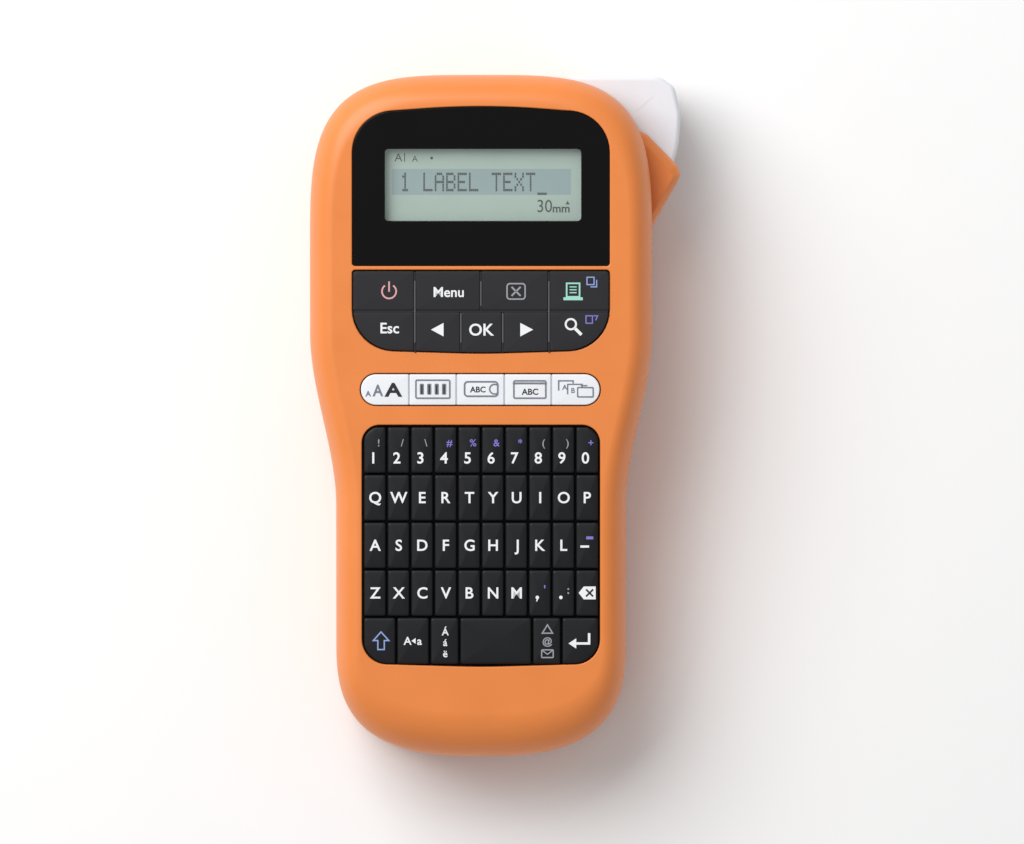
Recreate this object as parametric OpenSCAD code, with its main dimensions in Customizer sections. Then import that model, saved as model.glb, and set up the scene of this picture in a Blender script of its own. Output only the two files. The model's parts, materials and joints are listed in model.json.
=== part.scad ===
// Hand-held label maker: wedge-shaped casing lying on its flat back, keys and display on its
// tilted front, tape cassette, gear train and cutter behind the display, cells behind the keys.
// X points to the right of the keys, Y towards the display end, Z up out of the flat back.

/* [Casing] */
// Length of the casing along Y
body_l = 212; // [210:0.5:214]
// Width of the casing at the display end
head_w = 106.4; // [105:0.2:108]
// Width of the casing at the grip
grip_w = 90.2; // [89:0.2:92]
// Height of the front face above the back, at the middle
face_z = 52.6; // [52:0.1:54]
// Tilt of the front face, rising towards the display end
face_tilt = 4; // [3.8:0.1:4.2]
// Wall thickness of the casing
wall = 2.2; // [2:0.1:2.4]
// Depth of the front casing below the front face
front_depth = 18; // [17.5:0.1:18.5]

/* [Keys] */
// Height of the key tops above the front face
key_rise = 0.7; // [0.4:0.1:1]
// Travel of every key
key_travel = 0.9; // [0.7:0.1:0.95]
// Half of the groove between two keys
key_gap = 0.25; // [0.2:0.05:0.35]
// Radius of the stem under each key
stem_r = 1.5; // [1.3:0.1:1.6]

/* [Cutter] */
// Radius of the cutter lever's pin
cutter_pin_r = 1.5; // [1.4:0.05:1.6]

/* [Tape drive] */
// Gear module
gear_m = 0.6; // [0.6:0.01:0.62]
// Radius of the platen roller
platen_r = 4.2; // [4:0.1:4.3]
// Width of the label tape
tape_w = 12; // [9:3:12]
// Running clearance round a shaft
running = 0.05; // [0.03:0.01:0.08]

/* [Power] */
// Radius of one AAA cell
cell_r = 5.25; // [5:0.05:5.3]
// Length of one AAA cell, with its button
cell_l = 44.5; // [44:0.1:44.6]
// Radius of the centre pin in the power inlet
inlet_pin_r = 1; // [0.8:0.05:1.1]

/* [Hidden] */
$fn = 48;
eps = 0.01;

// Casing colours
orange = "#e8853f";
charcoal = "#24262b";
pale = "#e9e9ea";

// ---- Outline of the casing: two superellipse ends joined by curved flanks ----
cap_steps = 20;
flank_steps = 8;
head_y = 50;
foot_y = -70;
head_b = body_l / 2 - head_y;
foot_b = body_l / 2 + foot_y;
head_n = 3.7;
foot_n = 2.8;
shoulder_y = 26;
waist_y = -28;
side_round = 7.5;
head_round = 9.4;
foot_round = 14;
edge_d = 12;
back_round = 6;

function clamp(x) = min(1, max(0, x));
function smooth(t) = t * t * (3 - 2 * t);
function half_width(y) =
    grip_w / 2 + (head_w - grip_w) / 2 * smooth(clamp((y - waist_y) / (shoulder_y - waist_y)));
function cap(a, b, n, t) =
    [a * sign(cos(t)) * pow(abs(cos(t)), 2 / n), b * pow(abs(sin(t)), 2 / n)];

// Outline counter-clockwise from the right, moved in by s at the flanks, h at the head, f at the foot
function outline(s, h, f) = concat(
    [for (i = [0:cap_steps]) let (p = cap(head_w / 2 - s, head_b - h, head_n, 180 * i / cap_steps))
        [p.x, head_y + p.y]],
    [for (i = [1:flank_steps - 1]) let (y = head_y + (foot_y - head_y) * i / flank_steps)
        [s - half_width(y), y]],
    [for (i = [0:cap_steps]) let (p = cap(grip_w / 2 - s, foot_b - f, foot_n, 180 + 180 * i / cap_steps))
        [p.x, foot_y - p.y]],
    [for (i = [flank_steps - 1:-1:1]) let (y = head_y + (foot_y - head_y) * i / flank_steps)
        [half_width(y) - s, y]]
);

// Height of the front face's plane
function face_at(y) = face_z + y * tan(face_tilt);
// Height of the joint between the two casings
function joint_at(y) = face_at(y) - front_depth;

// Closed solid through rings of the outline, from the lowest: [flank, head, foot inset, height as function(y)]
module loft(rings) {
    n = 2 * (cap_steps + flank_steps);
    top = (len(rings) - 1) * n;
    mid = cap_steps / 2;
    points = [for (r = rings) for (p = outline(r[0], r[1], r[2])) [p.x, p.y, r[3](p.y)]];
    sides = [for (k = [0:len(rings) - 2]) for (i = [0:n - 1]) let (a = k * n + i, b = k * n + (i + 1) % n)
        each [[a, a + n, b + n], [a, b + n, b]]];
    lid = [for (j = [0:n / 2 - 1]) let (
        l = (mid + j) % n, l2 = (mid + j + 1) % n, r = (mid - j + n) % n, r2 = (mid - j - 1 + n) % n)
        j == 0 ? [l, l2, r2] : j == n / 2 - 1 ? [l, l2, r] : [l, l2, r2, r]];
    tops = [for (f = lid) [for (i = [len(f) - 1:-1:0]) f[i] + top]];
    polyhedron(points = points, faces = concat(sides, lid, tops), convexity = 6);
}

// One ring of the rounded front edge, at angle a round the edge, grown inwards by g
function edge_ring(a, g) = let (e = 1 - sin(a), d = g + edge_d * (1 - cos(a)))
    [g + side_round * e, g + head_round * e, g + foot_round * e, function(y) face_at(y) - d];
function inset_ring(g, z) = [g, g, g, z];

// Polygon with rounded corners, each given as [x, y, radius]
function unit(v) = v / norm(v);
function corner_arc(p, c, q, steps = 6) = let (
    v = [c.x, c.y],
    a = unit([p.x, p.y] - v),
    b = unit([q.x, q.y] - v),
    half = acos(a * b) / 2,
    o = v + unit(a + b) * c.z / sin(half),
    s = v + a * c.z / tan(half) - o,
    e = v + b * c.z / tan(half) - o,
    a0 = atan2(s.y, s.x),
    da = (atan2(e.y, e.x) - a0 + 900) % 360 - 180
) [for (i = [0:steps]) o + c.z * [cos(a0 + da * i / steps), sin(a0 + da * i / steps)]];
function rounded(c) = let (n = len(c))
    [for (i = [0:n - 1]) each c[i].z > 0
        ? corner_arc(c[(i + n - 1) % n], c[i], c[(i + 1) % n])
        : [[c[i].x, c[i].y]]];
function rounded_box(x0, x1, y0, y1, r) = rounded([[x0, y0, r], [x1, y0, r], [x1, y1, r], [x0, y1, r]]);

// Children in the front face's own frame, whose plane is its Z = 0
module on_face() { translate([0, 0, face_z]) rotate([face_tilt, 0, 0]) children(); }
module slab(points, z0, z1) { translate([0, 0, z0]) linear_extrude(z1 - z0) polygon(points); }
module box(x0, x1, y0, y1, z0, z1) { translate([x0, y0, z0]) cube([x1 - x0, y1 - y0, z1 - z0]); }
module rod(p, r, z0, z1) { translate([p.x, p.y, z0]) cylinder(r = r, h = z1 - z0); }
module ring_rod(p, r, bore, z0, z1) {
    difference() {
        rod(p, r, z0, z1);
        rod(p, bore, z0 - 1, z1 + 1);
    }
}

// ---- Openings in the front face, each moved in by g ----
crown_r = 250;
function window_shape(g) = rounded([
    [-40 + g, 46.6 + g, 1], [40 - g, 46.6 + g, 1], [40 - g, 94 - g, 13],
    [0, 96.9 - g, crown_r], [-40 + g, 94 - g, 13]]);
function keypad_shape(g) = rounded([
    [-40 + g, 45.4 - g, 1], [-40 + g, 20.5 + g, 13], [0, 19.3 + g, crown_r],
    [40 - g, 20.5 + g, 13], [40 - g, 45.4 - g, 1]]);
function strip_shape(g) = rounded_box(-37.6 + g, 37.2 - g, 3.1 + g, 13.3 - g, 5 - g);
function keyboard_shape(g) = rounded([
    [-37 + g, -2.8 - g, 5.6], [37 - g, -2.8 - g, 5.6], [37 - g, -77.2 + g, 7.8],
    [0, -78.3 + g, crown_r], [-37 + g, -77.2 + g, 7.8]]);

// ---- Key cells: [left, right, lower, upper] on the face ----
keypad_rows = [19.3, 32.6, 45.4];
keypad_top = [-40, -20.5, 0, 21.1, 40];
keypad_low = [-40, -20.5, -6.2, 6.8, 21.1, 40];
strip_cols = [-37.6, -22.3, -7.6, 7.3, 21.9, 37.2];
letter_pitch = [7.32, 14.85];
letter_corner = [-36.6, -3.2];
low_row = [-36.6, -26.3, -15.9, -6.7, 15.9, 25, 36.6];

function keypad_cell(row, i) = let (c = row == 1 ? keypad_top : keypad_low)
    [c[i], c[i + 1], keypad_rows[row], keypad_rows[row + 1]];
function strip_cell(i) = [strip_cols[i], strip_cols[i + 1], 3.1, 13.3];
function letter_cell(row, i) = let (x = letter_corner.x + letter_pitch.x * i, y = letter_corner.y - letter_pitch.y * row)
    [x, x + letter_pitch.x, y - letter_pitch.y, y];
function low_cell(i) = let (y = letter_corner.y - letter_pitch.y * 4) [low_row[i], low_row[i + 1], y - letter_pitch.y, y];
function cell_centre(c) = [(c[0] + c[1]) / 2, (c[2] + c[3]) / 2];

all_cells = concat(
    [for (i = [0:3]) keypad_cell(1, i)], [for (i = [0:4]) keypad_cell(0, i)],
    [for (i = [0:4]) strip_cell(i)],
    [for (row = [0:3]) for (i = [0:9]) letter_cell(row, i)],
    [for (i = [0:5]) low_cell(i)]);

key_floor = -3.3;
mat_top = key_floor - key_travel - 0.1;
mat_floor = -7.5;
board_top = -7.6;
board_t = 1.6;
stem_floor = board_top + key_travel + 0.2;
shape_gap = 0.35;

module key(shape, c) {
    p = cell_centre(c);
    on_face() {
        intersection() {
            slab(shape, key_floor, key_rise);
            box(c[0] + key_gap, c[1] - key_gap, c[2] + key_gap, c[3] - key_gap, key_floor - 1, key_rise + 1);
        }
        rod(p, stem_r, stem_floor, key_floor + eps);
    }
}
module keypad_key(row, i) { color(charcoal) key(keypad_shape(shape_gap), keypad_cell(row, i)); }
module strip_key(i) { color("white") key(strip_shape(shape_gap), strip_cell(i)); }
module letter_row(row) { color(charcoal) for (i = [0:9]) key(keyboard_shape(shape_gap), letter_cell(row, i)); }
module low_key(i) { color(charcoal) key(keyboard_shape(shape_gap), low_cell(i)); }

// ---- Casing ----
// Casing screws: places in plan
screw_places = [[30, -93], [-30, -93], [44.5, 8], [-44.5, 8], [-32, 94], [10, 97.5]];
boss_r = 3;
screw_r = 1.2;
head_r = 2.6;
screw_below = 10;
screw_above = 8;
// Board screws: places on the face
board_places = [[30, 16.4], [-30, 16.4], [20, -82], [-20, -82], [42.2, 66], [-42.2, 66]];

module front_casing() {
    color(orange) difference() {
        union() {
            difference() {
                loft([inset_ring(0, function(y) joint_at(y)), for (a = [90:-18:0]) edge_ring(a, 0)]);
                loft([inset_ring(wall, function(y) joint_at(y) - 1), for (a = [90:-30:0]) edge_ring(a, wall)]);
            }
            intersection() {
                loft([inset_ring(0.8, function(y) joint_at(y) - 2), for (a = [90:-30:0]) edge_ring(a, 0.8)]);
                for (p = screw_places) rod(p, boss_r, joint_at(p.y), face_at(p.y));
            }
            on_face() for (p = board_places) rod(p, 2.2, board_top, -1.2);
        }
        on_face() {
            for (shape = [window_shape(0), keypad_shape(0), strip_shape(0), keyboard_shape(0)]) slab(shape, -3.2, 2);
            for (p = board_places) rod(p, 0.9, board_top - 1, board_top + 4.5);
        }
        for (p = screw_places) rod(p, screw_r + running, joint_at(p.y) - 1, joint_at(p.y) + screw_above + 1);
    }
}

// Back opening and its cover
floor_t = 3.6;
cover_t = 1.75;
cover_z = 0.15;
function cover_shape(g) = rounded([
    [-36 + g, -88 + g, 10], [36 - g, -88 + g, 10], [36 - g, -24, 40], [42 - g, 22, 40],
    [42 - g, 76, 20], [36 - g, 88 - g, 8], [-36 + g, 88 - g, 8], [-42 + g, 76, 20],
    [-42 + g, 22, 40], [-36 + g, -24, 40]]);
cassette_bay = rounded_box(-29.5, 34, 3, 86, 4);
battery_bay = rounded_box(-34, 34, -76, -24, 3);
latch = [-7, 7, 80, 87.7];
latch_hinge_z = 1;
latch_hook = 1.2;
hook_z = [floor_t + 0.2, floor_t + 1.4];

// Cutter lever in plan
cutter_axis = [31, 100.5];
lever_z = [10, 33.5];
lever_edge = [
    [27.4, 106, 0.6], [55.5, 106, 6], [60.3, 102.6, 4], [62.2, 94, 12], [61.6, 84.5, 30],
    [60, 79, 20], [58.8, 72, 12], [53.6, 61.5, 1.2]];
lever_inside = [[50.6, 61.5, 1], [54.8, 73, 12], [57.4, 92, 6], [53.2, 100.4, 6], [34, 102.8, 2], [27.4, 103.2, 0.6]];
lever_web = [[48, 63, 1], [48.5, 80, 8], [46, 88, 6], [42.5, 93.5, 4], [34, 98.2, 3], [27.4, 102, 0.6]];
fin_z = [34, 38.3];
tape_x = 23.5;
exit_slot = [21.4, 26.2];
exit_z = [4.8, 22];
inlet_z = 20;

// Chassis posts and gear centres, each gear placed from the one it meshes with
chassis_posts = [[-33, 12], [-33, 82], [38.3, 14], [38.3, 47]];
chassis_z = [24, 26];
platen_teeth = 20;
idler_teeth = 36;
takeup_teeth = 24;
reduction_teeth = [40, 16];
pinion_teeth = 12;
function centre_distance(a, b) = gear_m * (a + b) / 2;
function beside(p, angle, d) = p + d * [cos(angle), sin(angle)];
platen_axis = [28, 68];
idler_axis = beside(platen_axis, 225, centre_distance(platen_teeth, idler_teeth));
reduction_axis = beside(idler_axis, 270, centre_distance(idler_teeth, reduction_teeth[1]));
pinion_axis = beside(reduction_axis, 180, centre_distance(reduction_teeth[0], pinion_teeth));
takeup_axis = beside(idler_axis, 180, centre_distance(idler_teeth, takeup_teeth));

groove_r = 30;
groove_d = 0.6;
groove_pitch = 17;

module grip_grooves() {
    for (side = [-1, 1]) for (i = [0:2]) let (y = -19 - groove_pitch * i)
        rod([side * (half_width(y) + groove_r - groove_d), y], groove_r, 6, 26);
}

module rear_casing() {
    color(orange) difference() {
        union() {
            difference() {
                loft([for (a = [0:30:90]) inset_ring(back_round * (1 - sin(a)), function(y) back_round * (1 - cos(a))),
                      inset_ring(0, function(y) joint_at(y))]);
                loft([inset_ring(wall + 2.4, function(y) floor_t), inset_ring(wall, function(y) floor_t + 4),
                      inset_ring(wall, function(y) joint_at(y) + 1)]);
            }
            for (p = screw_places) rod(p, boss_r + 0.6, floor_t - 1, joint_at(p.y));
            for (p = chassis_posts) rod(p, 2.2, floor_t - 1, chassis_z[0]);
            rod(cutter_axis, 3.2, floor_t - 1, lever_z[0] - 0.5);
            // Hood over the cutter lever, ending in the pointed fin
            slab(rounded([[48, 54, 1], [52.2, 56.9, 2], [61.2, 72.9, 2], [62.2, 75.2, 1], [61.2, 78, 2],
                          [51.8, 87.6, 3], [48, 89.5, 1]]), fin_z[0], fin_z[1]);
            // Saddle under the power inlet
            box(-5.5, 5.5, -104.5, -90, floor_t - 1, inlet_z - jack.z / 2 - 0.1);
            // Anvil that the blade cuts against
            box(20, 22.9, 86.4, 90, floor_t - 1.6, exit_z[1]);
        }
        for (p = screw_places) {
            rod(p, screw_r + 0.3, 0, joint_at(p.y) + 1);
            rod(p, head_r + 0.3, -1, joint_at(p.y) - screw_below);
        }
        slab(cover_shape(0), -1, cover_z + cover_t + 0.1);
        slab(cassette_bay, -1, floor_t + 1);
        slab(battery_bay, -1, floor_t + 1);
        box(latch[0] - 0.4, latch[1] + 0.4, 84.6, 88, -1, floor_t + 1);
        // Corner that the cutter lever fills
        slab([[26.9, 94], [26.9, 110], [66, 110], [66, 59.7], [41, 59.7], [41, 94]], lever_z[0] - 0.5, fin_z[0]);
        box(exit_slot[0], exit_slot[1], 98, 110, exit_z[0], exit_z[1]);
        rod(cutter_axis, cutter_pin_r, floor_t + 1.4, lever_z[0]);
        rod(cutter_axis, 2.5, lever_z[1], lever_z[1] + 4.6);
        translate([0, -body_l / 2 - 2, inlet_z]) rotate([-90, 0, 0]) cylinder(r = 5, h = 6);
        grip_grooves();
    }
}

// Rod on the latch's hinge axis, reaching x = end on both sides
module latch_rod(r, end) {
    translate([-end, latch[2], latch_hinge_z]) rotate([0, 90, 0]) cylinder(r = r, h = 2 * end);
}
module back_cover() {
    color(orange) difference() {
        slab(cover_shape(0.3), cover_z, cover_z + cover_t);
        box(latch[0] - 0.3, latch[1] + 0.3, latch[2] - 0.3, 90, -1, 4);
        latch_rod(1, latch[1] + 0.3);
        latch_rod(0.45, latch[1] + 1.4);
        box(-13, 13, 28, 60, -1, 4);
    }
}
module cover_window() {
    color([0.8, 0.85, 0.85, 0.5]) {
        box(-13, 13, 28, 60, cover_z + 0.1, cover_z + cover_t - 0.4);
        box(-15, 15, 26, 62, cover_z + cover_t, cover_z + cover_t + 0.8);
        box(-13, 13, 28, 60, cover_z + cover_t - 0.4 - eps, cover_z + cover_t + eps);
    }
}
module cover_latch() {
    tongue = latch[3] - 1.5;
    color(orange) {
        box(latch[0], latch[1], latch[2], latch[3], cover_z + 0.1, cover_z + cover_t);
        box(latch[0] + 1, latch[1] - 1, tongue, latch[3], cover_z + cover_t - eps, hook_z[1]);
        box(latch[0] + 1, latch[1] - 1, tongue, latch[3] + latch_hook, hook_z[0], hook_z[1]);
        latch_rod(0.75, latch[1]);
        latch_rod(0.4, latch[1] + 1.2);
    }
}

// ---- Display, mat and board ----
lcd = [-34, 34, 54.5, 87.5];
module display_window() {
    color([0.05, 0.05, 0.06]) on_face() {
        slab(window_shape(0.12), -2, -0.15);
        box(lcd[0] + 1, lcd[1] - 1, lcd[2] + 1, lcd[3] - 1, -3.4, -2 + eps);
    }
}
module lcd_module() {
    color("#b5c4bc") on_face() {
        box(lcd[0], lcd[1], lcd[2], lcd[3], board_top, -4.6);
        box(lcd[0] + 1.5, lcd[1] - 1.5, lcd[2] + 2, lcd[3] - 2, -4.6 - eps, -3.4);
    }
}
module keypad_mat() {
    color("#5a5d63") on_face() difference() {
        slab(rounded_box(-37.8, 37.8, -79.3, 46, 3), mat_floor, mat_top);
        for (c = all_cells) rod(cell_centre(c), stem_r + 0.6, mat_floor - 1, mat_top + 1);
        for (p = [board_places[0], board_places[1]]) rod(p, 2.8, mat_floor - 1, mat_top + 1);
    }
}
board_shape = rounded([
    [-38, -84.8, 6], [38, -84.8, 6], [38, 26, 4], [44.4, 32, 4], [44.4, 80, 8], [34, 90, 8],
    [-34, 90, 8], [-44.4, 80, 8], [-44.4, 32, 4], [-38, 26, 4]]);
module main_board() {
    color("#2f6b45") on_face() {
        difference() {
            slab(board_shape, board_top - board_t, board_top);
            for (p = board_places) rod(p, 1.1, board_top - 5, board_top + 1);
        }
        low = board_top - board_t;
        for (c = [[-6, -14, 11, 11, 1.4], [14, -34, 8, 8, 1.2], [-24, 24, 6, 9, 1.2], [16, 76, 14, 5, 3]])
            box(c[0], c[0] + c[2], c[1], c[1] + c[3], low - c[4], low + eps);
        for (x = [-26, -18]) rod([x, 2], 3.2, low - 6, low + eps);
    }
}
module board_screws() {
    color("silver") on_face() for (p = board_places) {
        rod(p, 0.85, board_top - board_t - eps, board_top + 4);
        rod(p, 1.9, board_top - board_t - 1.3, board_top - board_t);
    }
}

// ---- Cutter ----
module cutter_lever() {
    z0 = lever_z[0];
    z1 = lever_z[1];
    color(pale) difference() {
        union() {
            slab(rounded(concat(lever_edge, lever_inside)), z0, z1);
            for (z = [z0, z1 - 1.8]) slab(rounded(concat(lever_edge, lever_web)), z, z + 1.8);
            rod(cutter_axis, 3.2, z0, z1);
            slab([[26.8, 87.5], [29.8, 87.5], [33.4, 97], [34, 102.2], [28.2, 102.8], [28, 97]], z0, exit_z[1] - 1);
        }
        rod(cutter_axis, cutter_pin_r + running, z0 - 1, z1 + 1);
    }
}
module cutter_blade() {
    color("silver") slab([[25.3, 87], [26.3, 86.6], [29.4, 86.6], [29.4, 87.5], [26.3, 87.5]], 6.4, 20.6);
}
module cutter_pin() {
    color("silver") {
        rod(cutter_axis, cutter_pin_r, floor_t + 1.4, lever_z[1] + 4);
        rod(cutter_axis, 2.3, lever_z[1] + 3.4, lever_z[1] + 4.4);
    }
}
module cutter_spring() {
    color("dimgray") translate([cutter_axis.x, cutter_axis.y, lever_z[1] + 0.8])
        for (i = [0:2]) translate([0, 0, 0.85 * i]) rotate_extrude() translate([1.95, 0]) circle(r = 0.35, $fn = 16);
}

// ---- Cassette ----
cassette = [-27, 23, 5, 84.6];
cassette_z = [4, 21.8];
cassette_wall = 1.2;
roll_axis = [-4, 26.5];
roll_r = 17;
ribbon_axis = [9, 76];
head_notch = [19.4, 24, 60, 76];
module cassette_case() {
    w = cassette_wall;
    color("#d9dadb") difference() {
        slab(rounded_box(cassette[0], cassette[1], cassette[2], cassette[3], 2.5), cassette_z[0], cassette_z[1]);
        difference() {
            slab(rounded_box(cassette[0] + w, cassette[1] - w, cassette[2] + w, cassette[3] - w, 1.5),
                 cassette_z[0] + w, cassette_z[1] - w);
            box(head_notch[0] - w, 30, head_notch[2] - w, head_notch[3] + w, 0, 30);
        }
        box(head_notch[0], head_notch[1], head_notch[2], head_notch[3], 0, 30);
        for (p = [takeup_axis, ribbon_axis]) rod(p, 2.8, 0, 30);
        rod(roll_axis, 2, 0, 30);
        box(cassette[1] - w - 1, cassette[1] + 1, 80.5, 82.8, 6.5, 19.5);
    }
}
module label_roll() { color("white") ring_rod(roll_axis, roll_r, 6, 7, 7 + tape_w); }
module label_tape() { color("white") box(tape_x, tape_x + 0.15, 58, 85.5, 7, 7 + tape_w); }
module ribbon_spool() { color("#303236") ring_rod(ribbon_axis, 6, 2, 6, 20); }
module takeup_spool() { color("#303236") ring_rod(takeup_axis, 5, 2.5, 6, 20); }

// ---- Tape drive ----
// Outline of a spur gear with one tooth centred on the direction turn; thin teeth give the backlash
tooth_thick = 0.42;
function gear_shape(teeth, turn) = let (
    pitch = 360 / teeth,
    r = gear_m * teeth / 2,
    root = r - 1.05 * gear_m,
    tip = r + 0.8 * gear_m,
    half = pitch * tooth_thick / 2,
    slope = gear_m * 0.34 * 180 / PI / r
) [for (i = [0:teeth - 1]) for (q = [[root, -half - slope], [tip, -half + slope], [tip, half - slope], [root, half + slope]])
    let (a = turn + i * pitch + q[1]) q[0] * [cos(a), sin(a)]];
// Turn that puts a gear of t2 teeth in mesh with one of t1 teeth turned by turn1, lying at direction dir
function mesh_turn(turn1, t1, dir, t2) = dir + 180 - 360 / t2 * (0.5 + (turn1 - dir) * t1 / 360);
idler_turn = 0;
platen_turn = mesh_turn(idler_turn, idler_teeth, 45, platen_teeth);
takeup_turn = mesh_turn(idler_turn, idler_teeth, 180, takeup_teeth);
reduction_turn = mesh_turn(idler_turn, idler_teeth, 270, reduction_teeth[1]);
pinion_turn = mesh_turn(reduction_turn, reduction_teeth[0], 180, pinion_teeth);

layer_a = [27, 29];
layer_b = [29.5, 32.5];
axle_r = 1.2;
bore_r = axle_r + running;

module gear(p, teeth, turn, z) { translate([p.x, p.y, 0]) slab(gear_shape(teeth, turn), z[0], z[1]); }

motor_r = 12;
motor_z = [34, 44];
motor_posts = [[-8.5, 36], [-8.5, 45], [0.5, 31]];
holder_axis = [34, 54];
release_axis = [39, 77];

module chassis_plate() {
    color("#a9adb2") {
        difference() {
            slab(rounded_box(-35.6, 41, 9, 86, 3), chassis_z[0], chassis_z[1]);
            rod(platen_axis + [0.9, 0.3], 4, 20, 30);
            rod(takeup_axis, 1.5 + running, 20, 30);
            rod(pinion_axis, 2, 20, 30);
            for (p = chassis_posts) rod(p, 1.1, 20, 30);
        }
        for (p = [idler_axis, reduction_axis]) rod(p, axle_r, chassis_z[1] - eps, 33.4);
        for (p = motor_posts) rod(p, 1.6, chassis_z[1] - eps, motor_z[0]);
        rod(holder_axis, axle_r, 3.2, chassis_z[0] + eps);
        rod(release_axis, axle_r, 5, chassis_z[0] + eps);
    }
}
module print_head() {
    color("#8d9096") difference() {
        union() {
            box(20.6, 22.6, 62, 74, 5.5, chassis_z[0]);
            box(22.5, 23.3, 66, 70, 6, 20);
        }
        for (z = [8:4:20]) box(20.2, 21.4, 61, 75, z, z + 1.6);
    }
}
module platen_holder() {
    holder_bores = [holder_axis, platen_axis];
    color("#3a3d42") difference() {
        union() {
            for (z = [3.6, 22.4]) {
                slab(rounded([[31.4, 51.6, 2.4], [36.6, 51.6, 2.4], [35.8, 60, 6], [34.4, 74, 1.4],
                              [26, 72.4, 2.4], [25.4, 66, 2.4], [30.6, 61, 6]]), z, z + 1.1);
            }
            slab([[33, 56.8], [35.4, 56.8], [34.6, 73.4], [33, 73.4]], 4, 23);
        }
        rod(holder_bores[0], bore_r, 0, 30);
        rod(holder_bores[1], bore_r, 0, 30);
    }
}
module platen_roller() { color("#2b2b2d") ring_rod(platen_axis, platen_r, axle_r, 5.2, 22); }
module platen_shaft() {
    color("#c9ccd0") {
        rod(platen_axis, axle_r, 2.8, layer_b[1] + 0.6);
        gear(platen_axis, platen_teeth, platen_turn, layer_b);
    }
}
module release_lever() {
    color("#3f6fb0") difference() {
        union() {
            rod(release_axis, 2.4, 6, 22);
            slab([[37.6, 77.8], [36.5, 75.8], [34.9, 74.2], [35.3, 73], [36.4, 72.8], [38.4, 74.6], [40.6, 75.5]], 6, 22);
            box(38, 40, 78, 84, 6, 10);
        }
        rod(release_axis, bore_r, 0, 30);
    }
}
module drive_motor() {
    color("silver") difference() {
        union() {
            rod(pinion_axis, motor_r, motor_z[0], motor_z[1]);
            rod(pinion_axis, 3, motor_z[0] - 0.8, motor_z[0] + eps);
        }
        rod(pinion_axis, 1 + running, 30, motor_z[0] + 4);
    }
}
module motor_pinion() {
    color("#d8c08a") {
        rod(pinion_axis, 1, layer_a[0] - 0.4, motor_z[0] + 3);
        gear(pinion_axis, pinion_teeth, pinion_turn, layer_a);
    }
}
module reduction_gear() {
    color("#e4e2da") difference() {
        union() {
            gear(reduction_axis, reduction_teeth[0], reduction_turn, layer_a);
            gear(reduction_axis, reduction_teeth[1], reduction_turn, [layer_a[1] - eps, layer_b[1]]);
            rod(reduction_axis, 2.2, chassis_z[1] + 0.15, layer_a[0] + eps);
        }
        rod(reduction_axis, bore_r, 20, 40);
    }
}
module idler_gear() {
    color("#e4e2da") difference() {
        union() {
            gear(idler_axis, idler_teeth, idler_turn, layer_b);
            rod(idler_axis, 2, chassis_z[1] + 0.15, layer_b[0] + eps);
        }
        rod(idler_axis, bore_r, 20, 40);
    }
}
module takeup_spindle() {
    color("#e4e2da") {
        gear(takeup_axis, takeup_teeth, takeup_turn, layer_b);
        rod(takeup_axis, 3, chassis_z[1] + 0.15, layer_b[0] + eps);
        rod(takeup_axis, 1.5, 7, chassis_z[1] + 1);
        for (a = [0, 120, 240]) translate([takeup_axis.x, takeup_axis.y, 7]) rotate(a) translate([0, -0.4, 0]) cube([2.2, 0.8, 12]);
    }
}

// ---- Power ----
cells = 6;
cell_pitch = 11.2;
cell_z = 10;
tray = [-36, 36, -77.2, -22.8];
tray_wall = 1.4;
contact_t = 0.4;
cell_near = tray[3] - tray_wall - contact_t;
cell_far = tray[2] + tray_wall + contact_t;
spring_gap = cell_near - cell_far - cell_l;
// Children for each cell, lying along Y with its button end towards +Y, every second one turned round
module each_cell() {
    for (i = [0:cells - 1]) let (x = cell_pitch * (i - (cells - 1) / 2), up = i % 2 == 0)
        translate([x, up ? cell_near : cell_far, cell_z]) rotate([up ? 90 : -90, 0, 0]) children();
}
module battery_tray() {
    t = tray_wall;
    color("#3a3d42") difference() {
        box(tray[0], tray[1], tray[2], tray[3], floor_t + 0.1, 17.6);
        box(tray[0] + t, tray[1] - t, tray[2] + t, tray[3] - t, 0, 16.2);
        box(-20, 20, -58, -42, 15, 20);
    }
}
module battery_cells() {
    color("#3d6b8c") each_cell() {
        cylinder(r = 1.9, h = 1.2);
        translate([0, 0, 0.9]) cylinder(r = cell_r, h = cell_l - 0.9);
    }
}
module battery_springs() {
    color("silver") each_cell() translate([0, 0, cell_l]) rotate_extrude() polygon([
        [2.2, 0.05], [2.9, 0.05], [2.9, 1], [3.6, 1.4], [3.2, 2.4], [4.2, 3], [3.8, 4.2],
        [4.4, spring_gap - 0.05], [3.6, spring_gap - 0.05], [3, 4.2], [3.3, 3.2], [2.5, 2.6], [2.9, 1.6], [2.2, 1.2]]);
}
module battery_contacts() {
    color("silver") for (i = [0:cells - 1]) for (y = [cell_near, cell_far - contact_t]) let (x = cell_pitch * (i - (cells - 1) / 2))
        box(x - 4.6, x + 4.6, y, y + contact_t, cell_z - 4.5, cell_z + 4.5);
}
jack = [9, 13, 11];
jack_y = -102.6;
module dc_jack() {
    color("#202124") translate([0, jack_y, inlet_z]) {
        difference() {
            translate([-jack.x / 2, 0, -jack.z / 2]) cube(jack);
            rotate([-90, 0, 0]) translate([0, 0, -1]) cylinder(r = 2.85, h = 10.5);
        }
        rotate([-90, 0, 0]) translate([0, 0, 0.8]) cylinder(r = inlet_pin_r, h = 9.2);
    }
}
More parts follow.
